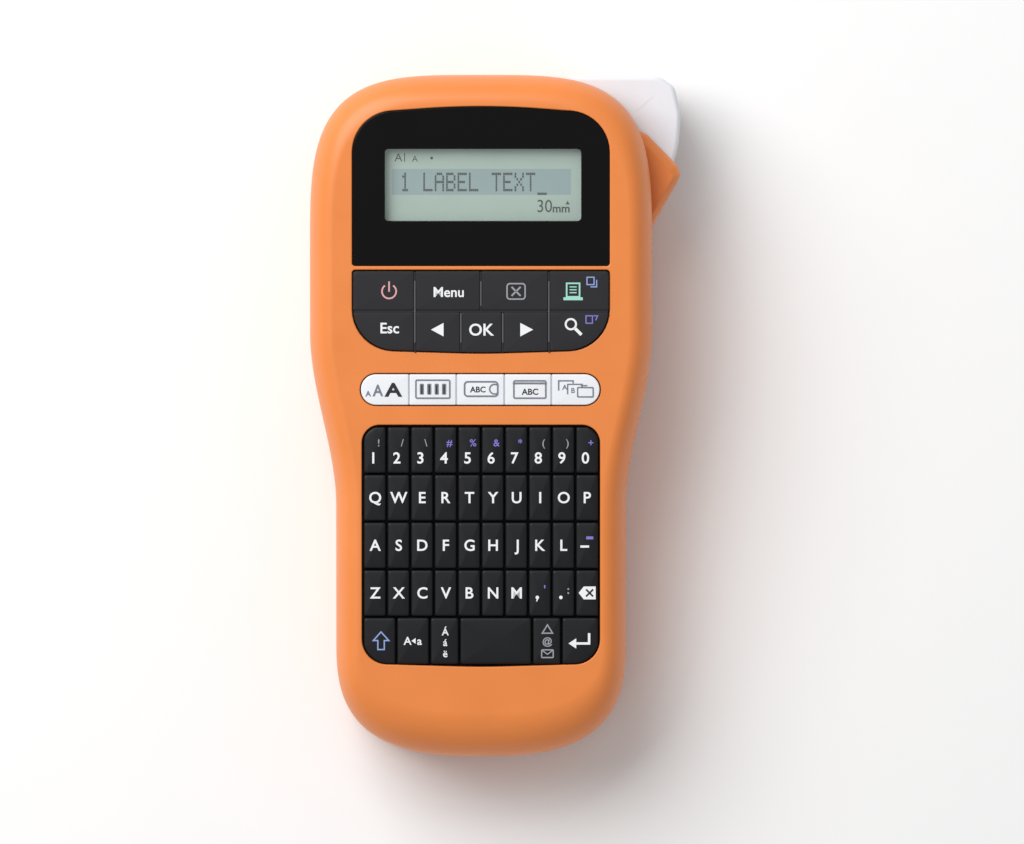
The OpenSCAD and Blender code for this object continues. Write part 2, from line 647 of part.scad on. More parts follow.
module casing_screws() {
    color("dimgray") for (p = screw_places) let (seat = joint_at(p.y) - screw_below) {
        rod(p, screw_r, seat - eps, seat + screw_below + screw_above);
        difference() {
            rod(p, head_r, seat - 1.8, seat);
            for (a = [0, 90]) translate([p.x, p.y, seat - 2.4]) rotate(a) translate([-1.6, -0.35, 0]) cube([3.2, 0.7, 1.6]);
        }
    }
}

front_casing();
rear_casing();
back_cover();
cover_latch();
cover_window();
display_window();
lcd_module();
keypad_mat();
main_board();
board_screws();
keypad_key(1, 0);  // power_key
keypad_key(1, 1);  // menu_key
keypad_key(1, 2);  // cancel_key
keypad_key(1, 3);  // print_key
keypad_key(0, 0);  // escape_key
keypad_key(0, 1);  // left_key
keypad_key(0, 2);  // ok_key
keypad_key(0, 3);  // right_key
keypad_key(0, 4);  // preview_key
strip_key(0);  // text_size_key
strip_key(1);  // table_key
strip_key(2);  // label_length_key
strip_key(3);  // frame_key
strip_key(4);  // memory_key
letter_row(0);  // number_keys
letter_row(1);  // top_letter_keys
letter_row(2);  // home_letter_keys
letter_row(3);  // bottom_letter_keys
low_key(0);  // shift_key
low_key(1);  // caps_key
low_key(2);  // accent_key
low_key(3);  // space_key
low_key(4);  // symbol_key
low_key(5);  // enter_key
cutter_lever();
cutter_blade();
cutter_pin();
cutter_spring();
cassette_case();
label_roll();
label_tape();
ribbon_spool();
takeup_spool();
chassis_plate();
print_head();
platen_holder();
platen_roller();
platen_shaft();
release_lever();
drive_motor();
motor_pinion();
reduction_gear();
idler_gear();
takeup_spindle();
battery_tray();
battery_cells();
battery_springs();
battery_contacts();
dc_jack();
casing_screws();
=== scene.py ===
import json
import logging
import math
from dataclasses import dataclass, field
from enum import Enum
from typing import Callable, Sequence

import bmesh
import bpy
import numpy as np
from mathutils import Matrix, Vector
from mathutils.bvhtree import BVHTree


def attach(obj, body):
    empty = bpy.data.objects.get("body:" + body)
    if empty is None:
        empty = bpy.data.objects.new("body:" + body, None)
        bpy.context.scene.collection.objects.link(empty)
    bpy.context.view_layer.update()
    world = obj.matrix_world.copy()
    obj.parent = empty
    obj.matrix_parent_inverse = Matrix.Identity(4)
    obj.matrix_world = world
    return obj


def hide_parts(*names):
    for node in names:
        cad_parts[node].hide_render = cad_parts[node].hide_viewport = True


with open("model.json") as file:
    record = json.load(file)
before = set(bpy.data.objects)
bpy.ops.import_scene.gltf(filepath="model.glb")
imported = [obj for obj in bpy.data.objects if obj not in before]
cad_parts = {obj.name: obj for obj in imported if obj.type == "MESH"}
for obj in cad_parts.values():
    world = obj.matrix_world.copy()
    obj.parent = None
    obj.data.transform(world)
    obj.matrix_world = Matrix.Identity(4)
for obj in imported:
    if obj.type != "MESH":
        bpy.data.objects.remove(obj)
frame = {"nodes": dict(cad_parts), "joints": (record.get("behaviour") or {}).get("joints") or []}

log = logging.getLogger("label_maker")
MM = 0.001
RIM_FACETS = 4
LIP_FACETS = 5
SMALLEST_RADIUS = 0.08
SHARP_CORNER = 35.0
# A move of all points; two values, mostly x and y; x, y and a corner's radius; limits in x, then in y.
Place = Callable[[np.ndarray], np.ndarray]
Pair = tuple[float, float]
Corner = tuple[float, float, float]
Box = tuple[float, float, float, float]


# ---- Meshes ----
class Shape:
    """Closed shells under construction, in millimetres, with a finish number on each face."""

    def __init__(self) -> None:
        """Starts with nothing in it."""
        self.points: list[np.ndarray] = []
        self.faces: list[tuple[int, ...]] = []
        self.finish: list[int] = []
        self.count = 0

    def add(self, points: np.ndarray, faces: Sequence[Sequence[int]], finish: int = 0) -> "Shape":
        """Adds one shell.

        Args:
            points: Rows of x, y, z in millimetres.
            faces: Point numbers of each face, counted from this shell's first point.
            finish: Number of the finish in the piece's list.

        Returns:
            This shape.
        """
        self.points.append(np.asarray(points, float))
        self.faces += [tuple(i + self.count for i in f) for f in faces]
        self.finish += [finish] * len(faces)
        self.count += len(points)
        return self

    def join(self, other: "Shape", finish: int | None = None) -> "Shape":
        """Adds another shape's shells, with their own finish numbers unless one is given."""
        offset = self.count
        self.points += other.points
        self.faces += [tuple(i + offset for i in f) for f in other.faces]
        self.finish += other.finish if finish is None else [finish] * len(other.finish)
        self.count += other.count
        return self

    def placed(self, place: Place) -> "Shape":
        """Moves every point by a function of all the points, and returns this shape."""
        self.points = [place(p) for p in self.points]
        return self

    def array(self) -> np.ndarray:
        """All points as one array."""
        return np.vstack(self.points)

    def mesh(self, name: str) -> bpy.types.Mesh:
        """The shape as a mesh in metres, under that name."""
        mesh = bpy.data.meshes.new(name)
        mesh.from_pydata((self.array() * MM).tolist(), [], self.faces)
        mesh.polygons.foreach_set("material_index", self.finish)
        return mesh


def loft(rings: Sequence[np.ndarray], finish: int = 0) -> Shape:
    """Skin with two lids through rings of as many points each, counter-clockwise and from the lowest."""
    n, last = len(rings[0]), len(rings) - 1
    faces: list[tuple[int, ...]] = []
    for a in range(0, last * n, n):
        b = a + n
        faces += [(a + i, a + (i + 1) % n, b + (i + 1) % n, b + i) for i in range(n)]
    faces += [tuple(range(n - 1, -1, -1)), tuple(range(last * n, (last + 1) * n))]
    return Shape().add(np.vstack(rings), faces, finish)


Step = tuple[str, Shape]


def level(outline: np.ndarray, z: float) -> np.ndarray:
    """A flat outline as a ring at height z."""
    return np.column_stack([outline, np.full(len(outline), float(z))])


def slab(outline: np.ndarray, z0: float, z1: float, finish: int = 0) -> Shape:
    """Straight prism on an outline, from z0 to z1."""
    return loft([level(outline, z0), level(outline, z1)], finish)


def inset(outline: np.ndarray, by: float) -> np.ndarray:
    """The outline moved inwards, with mitred corners. A negative distance moves it outwards."""
    before = outline - np.roll(outline, 1, 0)
    after = np.roll(outline, -1, 0) - outline
    before /= np.linalg.norm(before, axis=1)[:, None]
    after /= np.linalg.norm(after, axis=1)[:, None]
    na, nb = (np.column_stack([-d[:, 1], d[:, 0]]) for d in (before, after))
    share = np.maximum(1 + (na * nb).sum(1), 0.35)[:, None]
    return outline + by * (na + nb) / share


def quarter(facets: int) -> list[float]:
    """Angles from 0 to a right angle, for a rim with that many facets."""
    return [math.pi / 2 * i / facets for i in range(facets + 1)]


def soft_slab(outline: np.ndarray, z0: float, z1: float, top: float, bottom: float = 0.0) -> Shape:
    """Prism with rounded rims.

    Args:
        outline: Counter-clockwise outline.
        z0: Lower height.
        z1: Upper height.
        top: Radius of the upper rim.
        bottom: Radius of the lower rim, or 0 for a sharp one.

    Returns:
        The closed shape.
    """
    turns = quarter(RIM_FACETS)
    rings = [level(inset(outline, bottom * (1 - math.sin(t))), z0 + bottom * (1 - math.cos(t)))
             for t in (turns if bottom else turns[-1:])]
    rings += [level(inset(outline, top * (1 - math.sin(t))), z1 - top * (1 - math.cos(t)))
              for t in turns[::-1]]
    return loft(rings)


def flared(outline: np.ndarray, z0: float, z1: float, radius: float) -> Shape:
    """Cutter that leaves a rounded rim of that radius where it leaves the material at height z1."""
    lip = [level(inset(outline, -radius * (1 - math.cos(t))), z1 - radius + radius * math.sin(t))
           for t in quarter(LIP_FACETS)]
    return loft([level(outline, z0), *lip, level(inset(outline, -radius), z1 + 3)])


def sunk(outline: np.ndarray, depth: float, radius: float) -> Shape:
    """Cutter for a well in the flat back, with a rounded rim of that radius."""
    return flared((outline * [1, -1])[::-1], -depth, 0, radius).placed(lambda p: p * [1, -1, -1])


def rod(centre: Pair, radius: float, z0: float, z1: float, sides: int = 40) -> Shape:
    """Upright round rod."""
    return slab(circle(centre, radius, sides), z0, z1)


def block(x0: float, x1: float, y0: float, y1: float, z0: float, z1: float) -> Shape:
    """Square-edged cutter between those limits."""
    return slab(np.array([[x0, y0], [x1, y0], [x1, y1], [x0, y1]], float), z0, z1)


def circle(centre: Pair, radius: float, sides: int = 40) -> np.ndarray:
    """Counter-clockwise circle."""
    t = np.linspace(0, 2 * math.pi, sides, endpoint=False)
    return np.column_stack([centre[0] + radius * np.cos(t), centre[1] + radius * np.sin(t)])


def along_x(shape: Shape, y: float, z: float) -> Shape:
    """Turns an upright shape so that its own Z runs along X, through that y and z."""
    return shape.placed(lambda p: np.column_stack([p[:, 2], y + p[:, 0], z + p[:, 1]]))


def along_y(shape: Shape, x: float, z: float) -> Shape:
    """Turns an upright shape so that its own Z runs along Y, through that x and z."""
    return shape.placed(lambda p: np.column_stack([x + p[:, 1], p[:, 2], z + p[:, 0]]))


def counter_clockwise(rows: Sequence[Sequence[float]]) -> np.ndarray:
    """Rows that begin with x and y, turned round if they run clockwise."""
    c = np.array(rows, float)
    x, y = c[:, 0], c[:, 1]
    return c if (x * np.roll(y, -1) - np.roll(x, -1) * y).sum() > 0 else c[::-1]


def rounded(corners: Sequence[Sequence[float]], steps: int = 8) -> np.ndarray:
    """Counter-clockwise outline through corners given as x, y and radius."""
    c = counter_clockwise(corners)
    made: list[np.ndarray] = []
    for i, (x, y, r) in enumerate(c):
        v = np.array([x, y])
        if r <= 0:
            made.append(v)
            continue
        a, b = c[i - 1, :2] - v, c[(i + 1) % len(c), :2] - v
        a, b = a / np.linalg.norm(a), b / np.linalg.norm(b)
        half = math.acos(float(np.clip(a @ b, -1, 1))) / 2
        o = v + (a + b) / np.linalg.norm(a + b) * r / math.sin(half)
        s, e = v + a * r / math.tan(half) - o, v + b * r / math.tan(half) - o
        a0 = math.atan2(s[1], s[0])
        da = (math.atan2(e[1], e[0]) - a0 + 5 * math.pi) % (2 * math.pi) - math.pi
        made += [o + r * np.array([math.cos(a0 + da * k / steps), math.sin(a0 + da * k / steps)])
                 for k in range(steps + 1)]
    return np.array(made)


def drawn_in(corners: Sequence[Sequence[float]], by: float) -> np.ndarray:
    """Rounded outline moved inwards by moving its corners, so that small radii don't turn over.

    Args:
        corners: Corners given as x, y and radius, in either direction.
        by: Distance inwards.

    Returns:
        The outline, counter-clockwise and always with the same count of points.
    """
    c = counter_clockwise(corners)
    xy = c[:, :2]
    a, b = xy - np.roll(xy, 1, 0), np.roll(xy, -1, 0) - xy
    outward = np.sign(a[:, 0] * b[:, 1] - a[:, 1] * b[:, 0])
    return rounded(np.column_stack([inset(xy, by), np.maximum(c[:, 2] - outward * by, SMALLEST_RADIUS)]))


def rounded_box(x0: float, x1: float, y0: float, y1: float, r: float) -> np.ndarray:
    """Rectangle with rounded corners."""
    return rounded([[x0, y0, r], [x1, y0, r], [x1, y1, r], [x0, y1, r]])


def clipped(outline: np.ndarray, cell: Sequence[float], corner: float) -> np.ndarray:
    """The part of a convex outline inside a cell, its sharp corners rounded.

    Args:
        outline: Convex outline.
        cell: Left, right, lower and upper limit.
        corner: Radius for the sharp corners.

    Returns:
        The new outline.
    """
    p = outline
    for axis, limit, keep in ((0, cell[0], 1), (0, cell[1], -1), (1, cell[2], 1), (1, cell[3], -1)):
        made = []
        for a, b in zip(p, np.roll(p, -1, 0)):
            da, db = keep * (a[axis] - limit), keep * (b[axis] - limit)
            if da >= 0:
                made.append(a)
            if (da > 0 > db) or (da < 0 < db):
                made.append(a + (b - a) * da / (da - db))
        p = np.array(made)
    p = p[np.linalg.norm(p - np.roll(p, 1, 0), axis=1) > 1e-3]
    a, b = p - np.roll(p, 1, 0), np.roll(p, -1, 0) - p
    turn = np.degrees(np.abs(np.arctan2(a[:, 0] * b[:, 1] - a[:, 1] * b[:, 0], (a * b).sum(1))))
    short = np.minimum(np.linalg.norm(a, axis=1), np.linalg.norm(b, axis=1))
    radii = np.where(turn > SHARP_CORNER, np.minimum(corner, short * 0.45), 0)
    return rounded(np.column_stack([p, radii]), 5)


def evaluated(item: bpy.types.Object) -> bpy.types.Mesh:
    """The object's mesh with its modifiers applied."""
    bpy.context.view_layer.update()
    graph = bpy.context.evaluated_depsgraph_get()
    return bpy.data.meshes.new_from_object(item.evaluated_get(graph), preserve_all_data_layers=True,
                                           depsgraph=graph)


def linked(name: str, data: bpy.types.ID) -> bpy.types.Object:
    """A new object in the scene for a mesh, curve, light or camera."""
    item = bpy.data.objects.new(name, data)
    bpy.context.scene.collection.objects.link(item)
    return item


def added(tool: Shape) -> Step:
    """A step that joins a shape on."""
    return "UNION", tool


def cut(tool: Shape) -> Step:
    """A step that cuts a shape out."""
    return "DIFFERENCE", tool


def carved(body: Shape, steps: Sequence[Step]) -> bpy.types.Mesh:
    """Adds to and cuts from a shape.

    Args:
        body: The shape to start from.
        steps: What to join on and cut out, in order.

    Returns:
        The resulting mesh, in metres.
    """
    item = linked("carving", body.mesh("carving"))
    tools = []
    for kind, tool in steps:
        tools.append(linked("carving_tool", tool.mesh("carving_tool")))
        change = item.modifiers.new("step", "BOOLEAN")
        change.operation, change.solver, change.object = kind, "EXACT", tools[-1]
    mesh = evaluated(item)
    for used in [item, *tools]:
        bpy.data.objects.remove(used)
    return mesh


def finished(name: str, mesh: bpy.types.Mesh, finishes: Sequence["Finish"], body: str,
             nodes: Sequence[str], sharp: float = 32.0, weld: bool = True) -> bpy.types.Object:
    """Cleans and shades a mesh, and hands it to the frame as a piece.

    Args:
        name: The piece's name.
        mesh: Its mesh, in metres and in the frame.
        finishes: Its finishes, in the order of the face numbers.
        body: The body it rides on.
        nodes: The CAD nodes it stands for.
        sharp: Angle in degrees above which an edge stays sharp.
        weld: Whether points closer than a thousandth of a millimetre are merged.

    Returns:
        The piece.
    """
    work = bmesh.new()
    work.from_mesh(mesh)
    if weld:
        bmesh.ops.remove_doubles(work, verts=work.verts, dist=1e-6)
        bmesh.ops.dissolve_degenerate(work, edges=work.edges, dist=1e-7)
    for edge in work.edges:
        edge.smooth = len(edge.link_faces) == 2 and edge.calc_face_angle(0.0) < math.radians(sharp)
    for face in work.faces:
        face.smooth = True
    work.to_mesh(mesh)
    work.free()
    numbers = np.zeros(len(mesh.polygons), np.int32)
    mesh.polygons.foreach_get("material_index", numbers)
    mesh.materials.clear()
    for finish in finishes:
        mesh.materials.append(finish.made())
    mesh.polygons.foreach_set("material_index", np.minimum(numbers, len(finishes) - 1))
    item = linked(name, mesh)
    weigh = item.modifiers.new("weigh", "WEIGHTED_NORMAL")
    weigh.keep_sharp, weigh.weight = True, 80
    smooth = evaluated(item)
    item.modifiers.remove(weigh)
    item.data = smooth
    smooth.name = name
    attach(item, body)
    if nodes:
        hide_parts(*nodes)
    log.info("%s: %d faces on %s", name, len(smooth.polygons), body)
    return item


# ---- Finishes ----
# Size of the broad unevenness that every finish has, and the usual range of the blended pattern.
BROAD_MM = 14.0
BLEND_LOW, BLEND_HIGH = 0.35, 1.05


def to_linear(code: str) -> tuple[float, float, float, float]:
    """An sRGB hex colour such as "#eb8746" as linear red, green, blue and alpha."""
    parts = [int(code[i:i + 2], 16) / 255 for i in (1, 3, 5)]
    r, g, b = (c / 12.92 if c <= 0.04045 else ((c + 0.055) / 1.055) ** 2.4 for c in parts)
    return r, g, b, 1.0


def add_node(tree: bpy.types.NodeTree, kind: str, settings: dict[str, object] | None = None,
             inputs: dict[str | int, object] | None = None) -> bpy.types.Node:
    """Adds a node with its settings and links.

    Args:
        tree: The node tree.
        kind: The node's type name.
        settings: Its properties.
        inputs: Values or sockets for its inputs, by name or number.

    Returns:
        The node.
    """
    node = tree.nodes.new(kind)
    for key, value in (settings or {}).items():
        setattr(node, key, value)
    for key, value in (inputs or {}).items():
        if isinstance(value, bpy.types.NodeSocket):
            tree.links.new(value, node.inputs[key])
        else:
            node.inputs[key].default_value = value
    return node


class Pattern(Enum):
    """How a finish varies over the surface."""

    GRAIN = "fine noise, as from a spark-eroded or sanded mould"
    BRUSHED_X = "fine lines along X"
    BRUSHED_Z = "fine rings round an upright axis, as from turning"
    WOUND = "rings of wound tape round an upright axis"
    FIBRE = "glass or paper fibres"


@dataclass(frozen=True)
class Finish:
    """One material: its colour, gloss and relief.

    The fine pattern's size is larger than the real one where that would be too fine to show.
    """

    name: str
    colour: str
    roughness: float
    grain_mm: float = 0.35
    depth_mm: float = 0.006
    mottle: float = 0.05
    metallic: float = 0.0
    coat: float = 0.0
    alpha: float = 1.0
    specular: float = 0.5
    subsurface: float = 0.0
    pattern: Pattern = Pattern.GRAIN
    axis_mm: Pair = (0.0, 0.0)

    def made(self) -> bpy.types.Material:
        """The material, made once and then found by its name."""
        if self.name in bpy.data.materials:
            return bpy.data.materials[self.name]
        material = bpy.data.materials.new(self.name)
        material.use_nodes = True
        tree = material.node_tree
        tree.nodes.clear()
        at = add_node(tree, "ShaderNodeTexCoord").outputs["Object"]
        stretch = {Pattern.BRUSHED_X: (0.04, 1, 1), Pattern.FIBRE: (0.3, 1, 1)}.get(self.pattern, (1, 1, 1))
        placed = add_node(tree, "ShaderNodeMapping", {"vector_type": "POINT"}, {
            "Vector": at, "Location": (-self.axis_mm[0] * MM * stretch[0], -self.axis_mm[1] * MM, 0),
            "Scale": stretch}).outputs[0]
        if self.pattern in (Pattern.BRUSHED_Z, Pattern.WOUND):
            wave = add_node(tree, "ShaderNodeTexWave", {
                "wave_type": "RINGS", "rings_direction": "Z", "wave_profile": "SAW"}, {
                "Vector": placed, "Scale": 0.05 / (self.grain_mm * MM), "Distortion": 0.6,
                "Detail": 2.0, "Detail Scale": 3.0})
            fine = wave.outputs["Fac"]
        else:
            fine = add_node(tree, "ShaderNodeTexNoise", None, {
                "Vector": placed, "Scale": 1 / (self.grain_mm * MM), "Detail": 3.0,
                "Roughness": 0.6}).outputs["Fac"]
        broad = add_node(tree, "ShaderNodeTexNoise", None, {
            "Vector": at, "Scale": 1 / (BROAD_MM * MM), "Detail": 2.0}).outputs["Fac"]
        blend = add_node(tree, "ShaderNodeMath", {"operation": "MULTIPLY_ADD"}, {
            0: fine, 1: 0.4, 2: broad}).outputs[0]
        r, g, b, _ = to_linear(self.colour)
        low, high = 1 - self.mottle, 1 + self.mottle
        tone = add_node(tree, "ShaderNodeMapRange", {"data_type": "FLOAT_VECTOR"}, {
            "Vector": blend, 7: (BLEND_LOW,) * 3, 8: (BLEND_HIGH,) * 3, 9: (r * low, g * low, b * low),
            10: (min(1, r * high), min(1, g * high), min(1, b * high))})
        gloss = add_node(tree, "ShaderNodeMapRange", None, {
            "Value": blend, "From Min": BLEND_LOW, "From Max": BLEND_HIGH,
            "To Min": self.roughness * 0.88, "To Max": min(1.0, self.roughness * 1.12)})
        relief = add_node(tree, "ShaderNodeBump", None, {
            "Height": fine, "Distance": self.depth_mm * MM, "Strength": 1.0})
        shader = add_node(tree, "ShaderNodeBsdfPrincipled", None, {
            "Base Color": tone.outputs["Vector"], "Roughness": gloss.outputs["Result"],
            "Normal": relief.outputs[0], "Metallic": self.metallic, "Coat Weight": self.coat,
            "Coat Roughness": 0.08, "Alpha": self.alpha, "Specular IOR Level": self.specular,
            "Subsurface Weight": self.subsurface, "Subsurface Radius": (0.002, 0.0015, 0.001)})
        if not self.metallic:
            shader.inputs["IOR"].default_value = 1.5
        add_node(tree, "ShaderNodeOutputMaterial", None, {"Surface": shader.outputs[0]})
        return material


# ABS shell, moulded with a fine spark-eroded texture: soft broad highlights.
SHELL = Finish("orange_abs_satin_moulded", "#ea8741", 0.42, 0.30, 0.004, 0.03, coat=0.05)
# Acrylic pane printed black on its inner side: deep and glossy.
PANE = Finish("black_printed_acrylic", "#08080a", 0.09, 1.2, 0.0006, 0.2, specular=0.2)
# Clear acrylic over the display: a faint surface reflection only.
LENS = Finish("clear_acrylic", "#e8efec", 0.06, 1.5, 0.0004, 0.02, alpha=0.06)
# Clear styrene window in the cover.
CLEAR = Finish("clear_styrene", "#dfe6e6", 0.1, 1.5, 0.0006, 0.03, alpha=0.3)
# Liquid crystal cell with its grey-green reflector: satin and slightly uneven.
CRYSTAL = Finish("display_reflector_satin", "#a4b8ae", 0.32, 0.9, 0.001, 0.04)
BAND = Finish("display_band_grey", "#8ca3a3", 0.32, 0.9, 0.001, 0.04)
DOTS = Finish("display_dots_dark", "#24302f", 0.35, 0.5, 0.0005, 0.08)
# Silicone rubber keys with a hard satin coat.
KEYPAD = Finish("charcoal_silicone_coated", "#222226", 0.5, 0.22, 0.003, 0.06, specular=0.35)
KEYS = Finish("black_silicone_coated", "#121316", 0.5, 0.22, 0.003, 0.08, specular=0.3)
STRIP = Finish("white_silicone_coated", "#eef0f4", 0.45, 0.25, 0.003, 0.02, subsurface=0.04)
MAT = Finish("grey_silicone_matte", "#2a2b2f", 0.75, 0.4, 0.008, 0.1)
# Raised bars between the function keys: the ridges are modelled, and their lighter grey is a painted
# highlight along them.
BAR_PAINTED_HIGHLIGHT = Finish("grey_silicone_bar_painted_highlight", "#54565a", 0.5, 0.3, 0.004, 0.05)
# Strips in the gaps between the white quick keys: their pale blue-grey is painted shade of those gaps.
GROOVE_PAINTED_SHADE = Finish("pale_blue_groove_painted_shade", "#c3c9d6", 0.6, 0.3, 0.003, 0.05)
# Screen-printed inks: matte and slightly uneven at the edges.
WHITE_INK = Finish("white_ink", "#f1f2f3", 0.6, 0.12, 0.002, 0.03)
GREY_INK = Finish("grey_ink", "#9a9ca3", 0.6, 0.12, 0.002, 0.05)
VIOLET_INK = Finish("violet_ink", "#8078cf", 0.6, 0.12, 0.002, 0.05)
BLUE_INK = Finish("blue_ink", "#8fa6dd", 0.6, 0.12, 0.002, 0.05)
PINK_INK = Finish("pink_ink", "#dfa3a8", 0.6, 0.12, 0.002, 0.05)
TEAL_INK = Finish("teal_ink", "#9fdccb", 0.6, 0.12, 0.002, 0.05)
BLACK_INK = Finish("black_ink", "#1d1f24", 0.55, 0.12, 0.002, 0.05)
SLATE_INK = Finish("slate_ink", "#767b86", 0.6, 0.12, 0.002, 0.05)
# ABS lever, pale and satin.
LEVER = Finish("pale_abs_satin_moulded", "#e6e9ef", 0.4, 0.3, 0.004, 0.02)
# Glass-filled polyamide: matte with visible fibres.
FILLED = Finish("black_polyamide_glass_filled", "#37393e", 0.6, 0.5, 0.01, 0.15, pattern=Pattern.FIBRE)
CASSETTE = Finish("pale_grey_abs_moulded", "#d9dadb", 0.38, 0.3, 0.005, 0.03)
SPOOL = Finish("black_polystyrene_moulded", "#303136", 0.4, 0.3, 0.005, 0.08)
ACETAL = Finish("natural_acetal_moulded", "#e4e1d8", 0.35, 0.4, 0.003, 0.03, subsurface=0.05)
RELEASE = Finish("blue_abs_moulded", "#3f6fb0", 0.4, 0.3, 0.005, 0.05)
# Laminated label tape wound on itself: each turn shows as a ring.
LABEL = Finish("wound_label_tape", "#eff0ef", 0.5, 0.45, 0.012, 0.06, pattern=Pattern.WOUND,
               axis_mm=(-4, 26.5))
ROLLER = Finish("black_nitrile_ground", "#2b2b2d", 0.7, 0.2, 0.006, 0.08)
# Fibreglass board under green solder mask.
BOARD = Finish("green_solder_mask", "#2b6b41", 0.35, 0.8, 0.01, 0.12, coat=0.3, pattern=Pattern.FIBRE)
STEEL = Finish("zinc_plated_steel", "#c3c5c9", 0.3, 0.3, 0.003, 0.08, metallic=1.0, pattern=Pattern.BRUSHED_X)
ALLOY = Finish("aluminium_pressed", "#bfc2c6", 0.38, 0.35, 0.004, 0.07, metallic=1.0,
               pattern=Pattern.BRUSHED_X)
BRASS = Finish("brass_turned", "#d9b86c", 0.28, 0.3, 0.003, 0.08, metallic=1.0, pattern=Pattern.BRUSHED_Z)
# Printed sleeve shrunk on a cell.
JACKET = Finish("blue_printed_sleeve", "#3b6a8c", 0.28, 0.6, 0.003, 0.05, coat=0.2)

NODE_FINISH: dict[str, Finish] = {
    "cover_window": CLEAR, "keypad_mat": MAT, "main_board": BOARD, "board_screws": STEEL,
    "cutter_blade": STEEL, "cutter_pin": STEEL, "cutter_spring": STEEL, "cassette_case": CASSETTE,
    "label_roll": LABEL, "label_tape": LABEL, "ribbon_spool": SPOOL, "takeup_spool": SPOOL,
    "chassis_plate": ALLOY, "print_head": ALLOY, "platen_holder": FILLED, "platen_roller": ROLLER,
    "platen_shaft": STEEL, "release_lever": RELEASE, "drive_motor": STEEL, "motor_pinion": BRASS,
    "reduction_gear": ACETAL, "idler_gear": ACETAL, "takeup_spindle": ACETAL, "battery_tray": FILLED,
    "battery_cells": JACKET, "battery_contacts": STEEL, "dc_jack": FILLED, "casing_screws": STEEL,
}


# ---- The body's own frame and outline ----
@dataclass(frozen=True)
class Face:
    """The tilted front face, as a frame of its own with u, v and w."""

    tilt: float
    height: float = 52.6

    def place(self, p: np.ndarray) -> np.ndarray:
        """Points from the face's own frame in the body's frame."""
        c, s = math.cos(self.tilt), math.sin(self.tilt)
        up, out = p[:, 1], p[:, 2]
        return np.column_stack([p[:, 0], up * c - out * s, self.height + up * s + out * c])

    def at(self, y: np.ndarray) -> np.ndarray:
        """Height of the face at y."""
        return self.height + y * math.tan(self.tilt)


@dataclass(frozen=True)
class Outline:
    """The casing's outline from the front: a squarish head, a waist and a rounded grip."""

    head_w: float = 106.4
    grip_w: float = 90.2
    head_y: float = 50.0
    foot_y: float = -70.0
    head_b: float = 56.0
    foot_b: float = 36.0
    head_n: float = 3.7
    foot_n: float = 2.8
    shoulder_y: float = 26.0
    waist_y: float = -28.0
    count: int = 384

    def half_width(self, y: np.ndarray) -> np.ndarray:
        """Half of the width at y."""
        t = np.clip((y - self.waist_y) / (self.shoulder_y - self.waist_y), 0, 1)
        return self.grip_w / 2 + (self.head_w - self.grip_w) / 2 * t * t * (3 - 2 * t)

    def _points(self, t: np.ndarray, s: float, h: float, f: float) -> np.ndarray:
        """Points at parameters from 0 to 4: head, left flank, foot, right flank."""
        k, u = np.minimum(t.astype(int), 3), t - np.minimum(t.astype(int), 3)
        c, q = np.cos(math.pi * u), np.abs(np.sin(math.pi * u))
        down = self.head_y + (self.foot_y - self.head_y) * u
        up = self.foot_y + (self.head_y - self.foot_y) * u
        x = np.choose(k, [
            (self.head_w / 2 - s) * np.sign(c) * np.abs(c) ** (2 / self.head_n), s - self.half_width(down),
            -(self.grip_w / 2 - s) * np.sign(c) * np.abs(c) ** (2 / self.foot_n), self.half_width(up) - s])
        y = np.choose(k, [self.head_y + (self.head_b - h) * q ** (2 / self.head_n), down,
                          self.foot_y - (self.foot_b - f) * q ** (2 / self.foot_n), up])
        return np.column_stack([x, y])

    def ring(self, flank: float, head: float | None = None, foot: float | None = None) -> np.ndarray:
        """The outline moved in by those distances, always with the same count of points."""
        dense = np.linspace(0, 4, 24001)
        p = self._points(dense, 0, 0, 0)
        run = np.concatenate([[0], np.cumsum(np.linalg.norm(np.diff(p, axis=0), axis=1))])
        t = np.interp(np.linspace(0, run[-1], self.count, endpoint=False), run, dense)
        return self._points(t, flank, flank if head is None else head, flank if foot is None else foot)


@dataclass(frozen=True)
class Openings:
    """The four openings in the front face, in its own frame."""

    crown: float = 250.0
    strip: Box = (-37.6, 37.2, 3.1, 13.3)

    def window(self, g: float = 0.0) -> np.ndarray:
        """Outline of the display window, moved in by g."""
        return rounded([[-40 + g, 46.6 + g, 1], [40 - g, 46.6 + g, 1], [40 - g, 94 - g, 13],
                        [0, 96.9 - g, self.crown], [-40 + g, 94 - g, 13]], 10)

    def keypad(self, g: float = 0.0) -> np.ndarray:
        """Outline of the keypad, moved in by g."""
        return rounded([[-40 + g, 45.4 - g, 1], [-40 + g, 20.5 + g, 13], [0, 19.3 + g, self.crown],
                        [40 - g, 20.5 + g, 13], [40 - g, 45.4 - g, 1]], 10)

    def quick(self, g: float = 0.0) -> np.ndarray:
        """Outline of the strip of quick keys, moved in by g."""
        x0, x1, y0, y1 = self.strip
        return rounded_box(x0 + g, x1 - g, y0 + g, y1 - g, 5 - g)

    def keyboard(self, g: float = 0.0) -> np.ndarray:
        """Outline of the keyboard, moved in by g."""
        return rounded([[-37 + g, -2.8 - g, 5.6], [37 - g, -2.8 - g, 5.6], [37 - g, -77.2 + g, 7.8],
                        [0, -78.3 + g, self.crown], [-37 + g, -77.2 + g, 7.8]], 10)


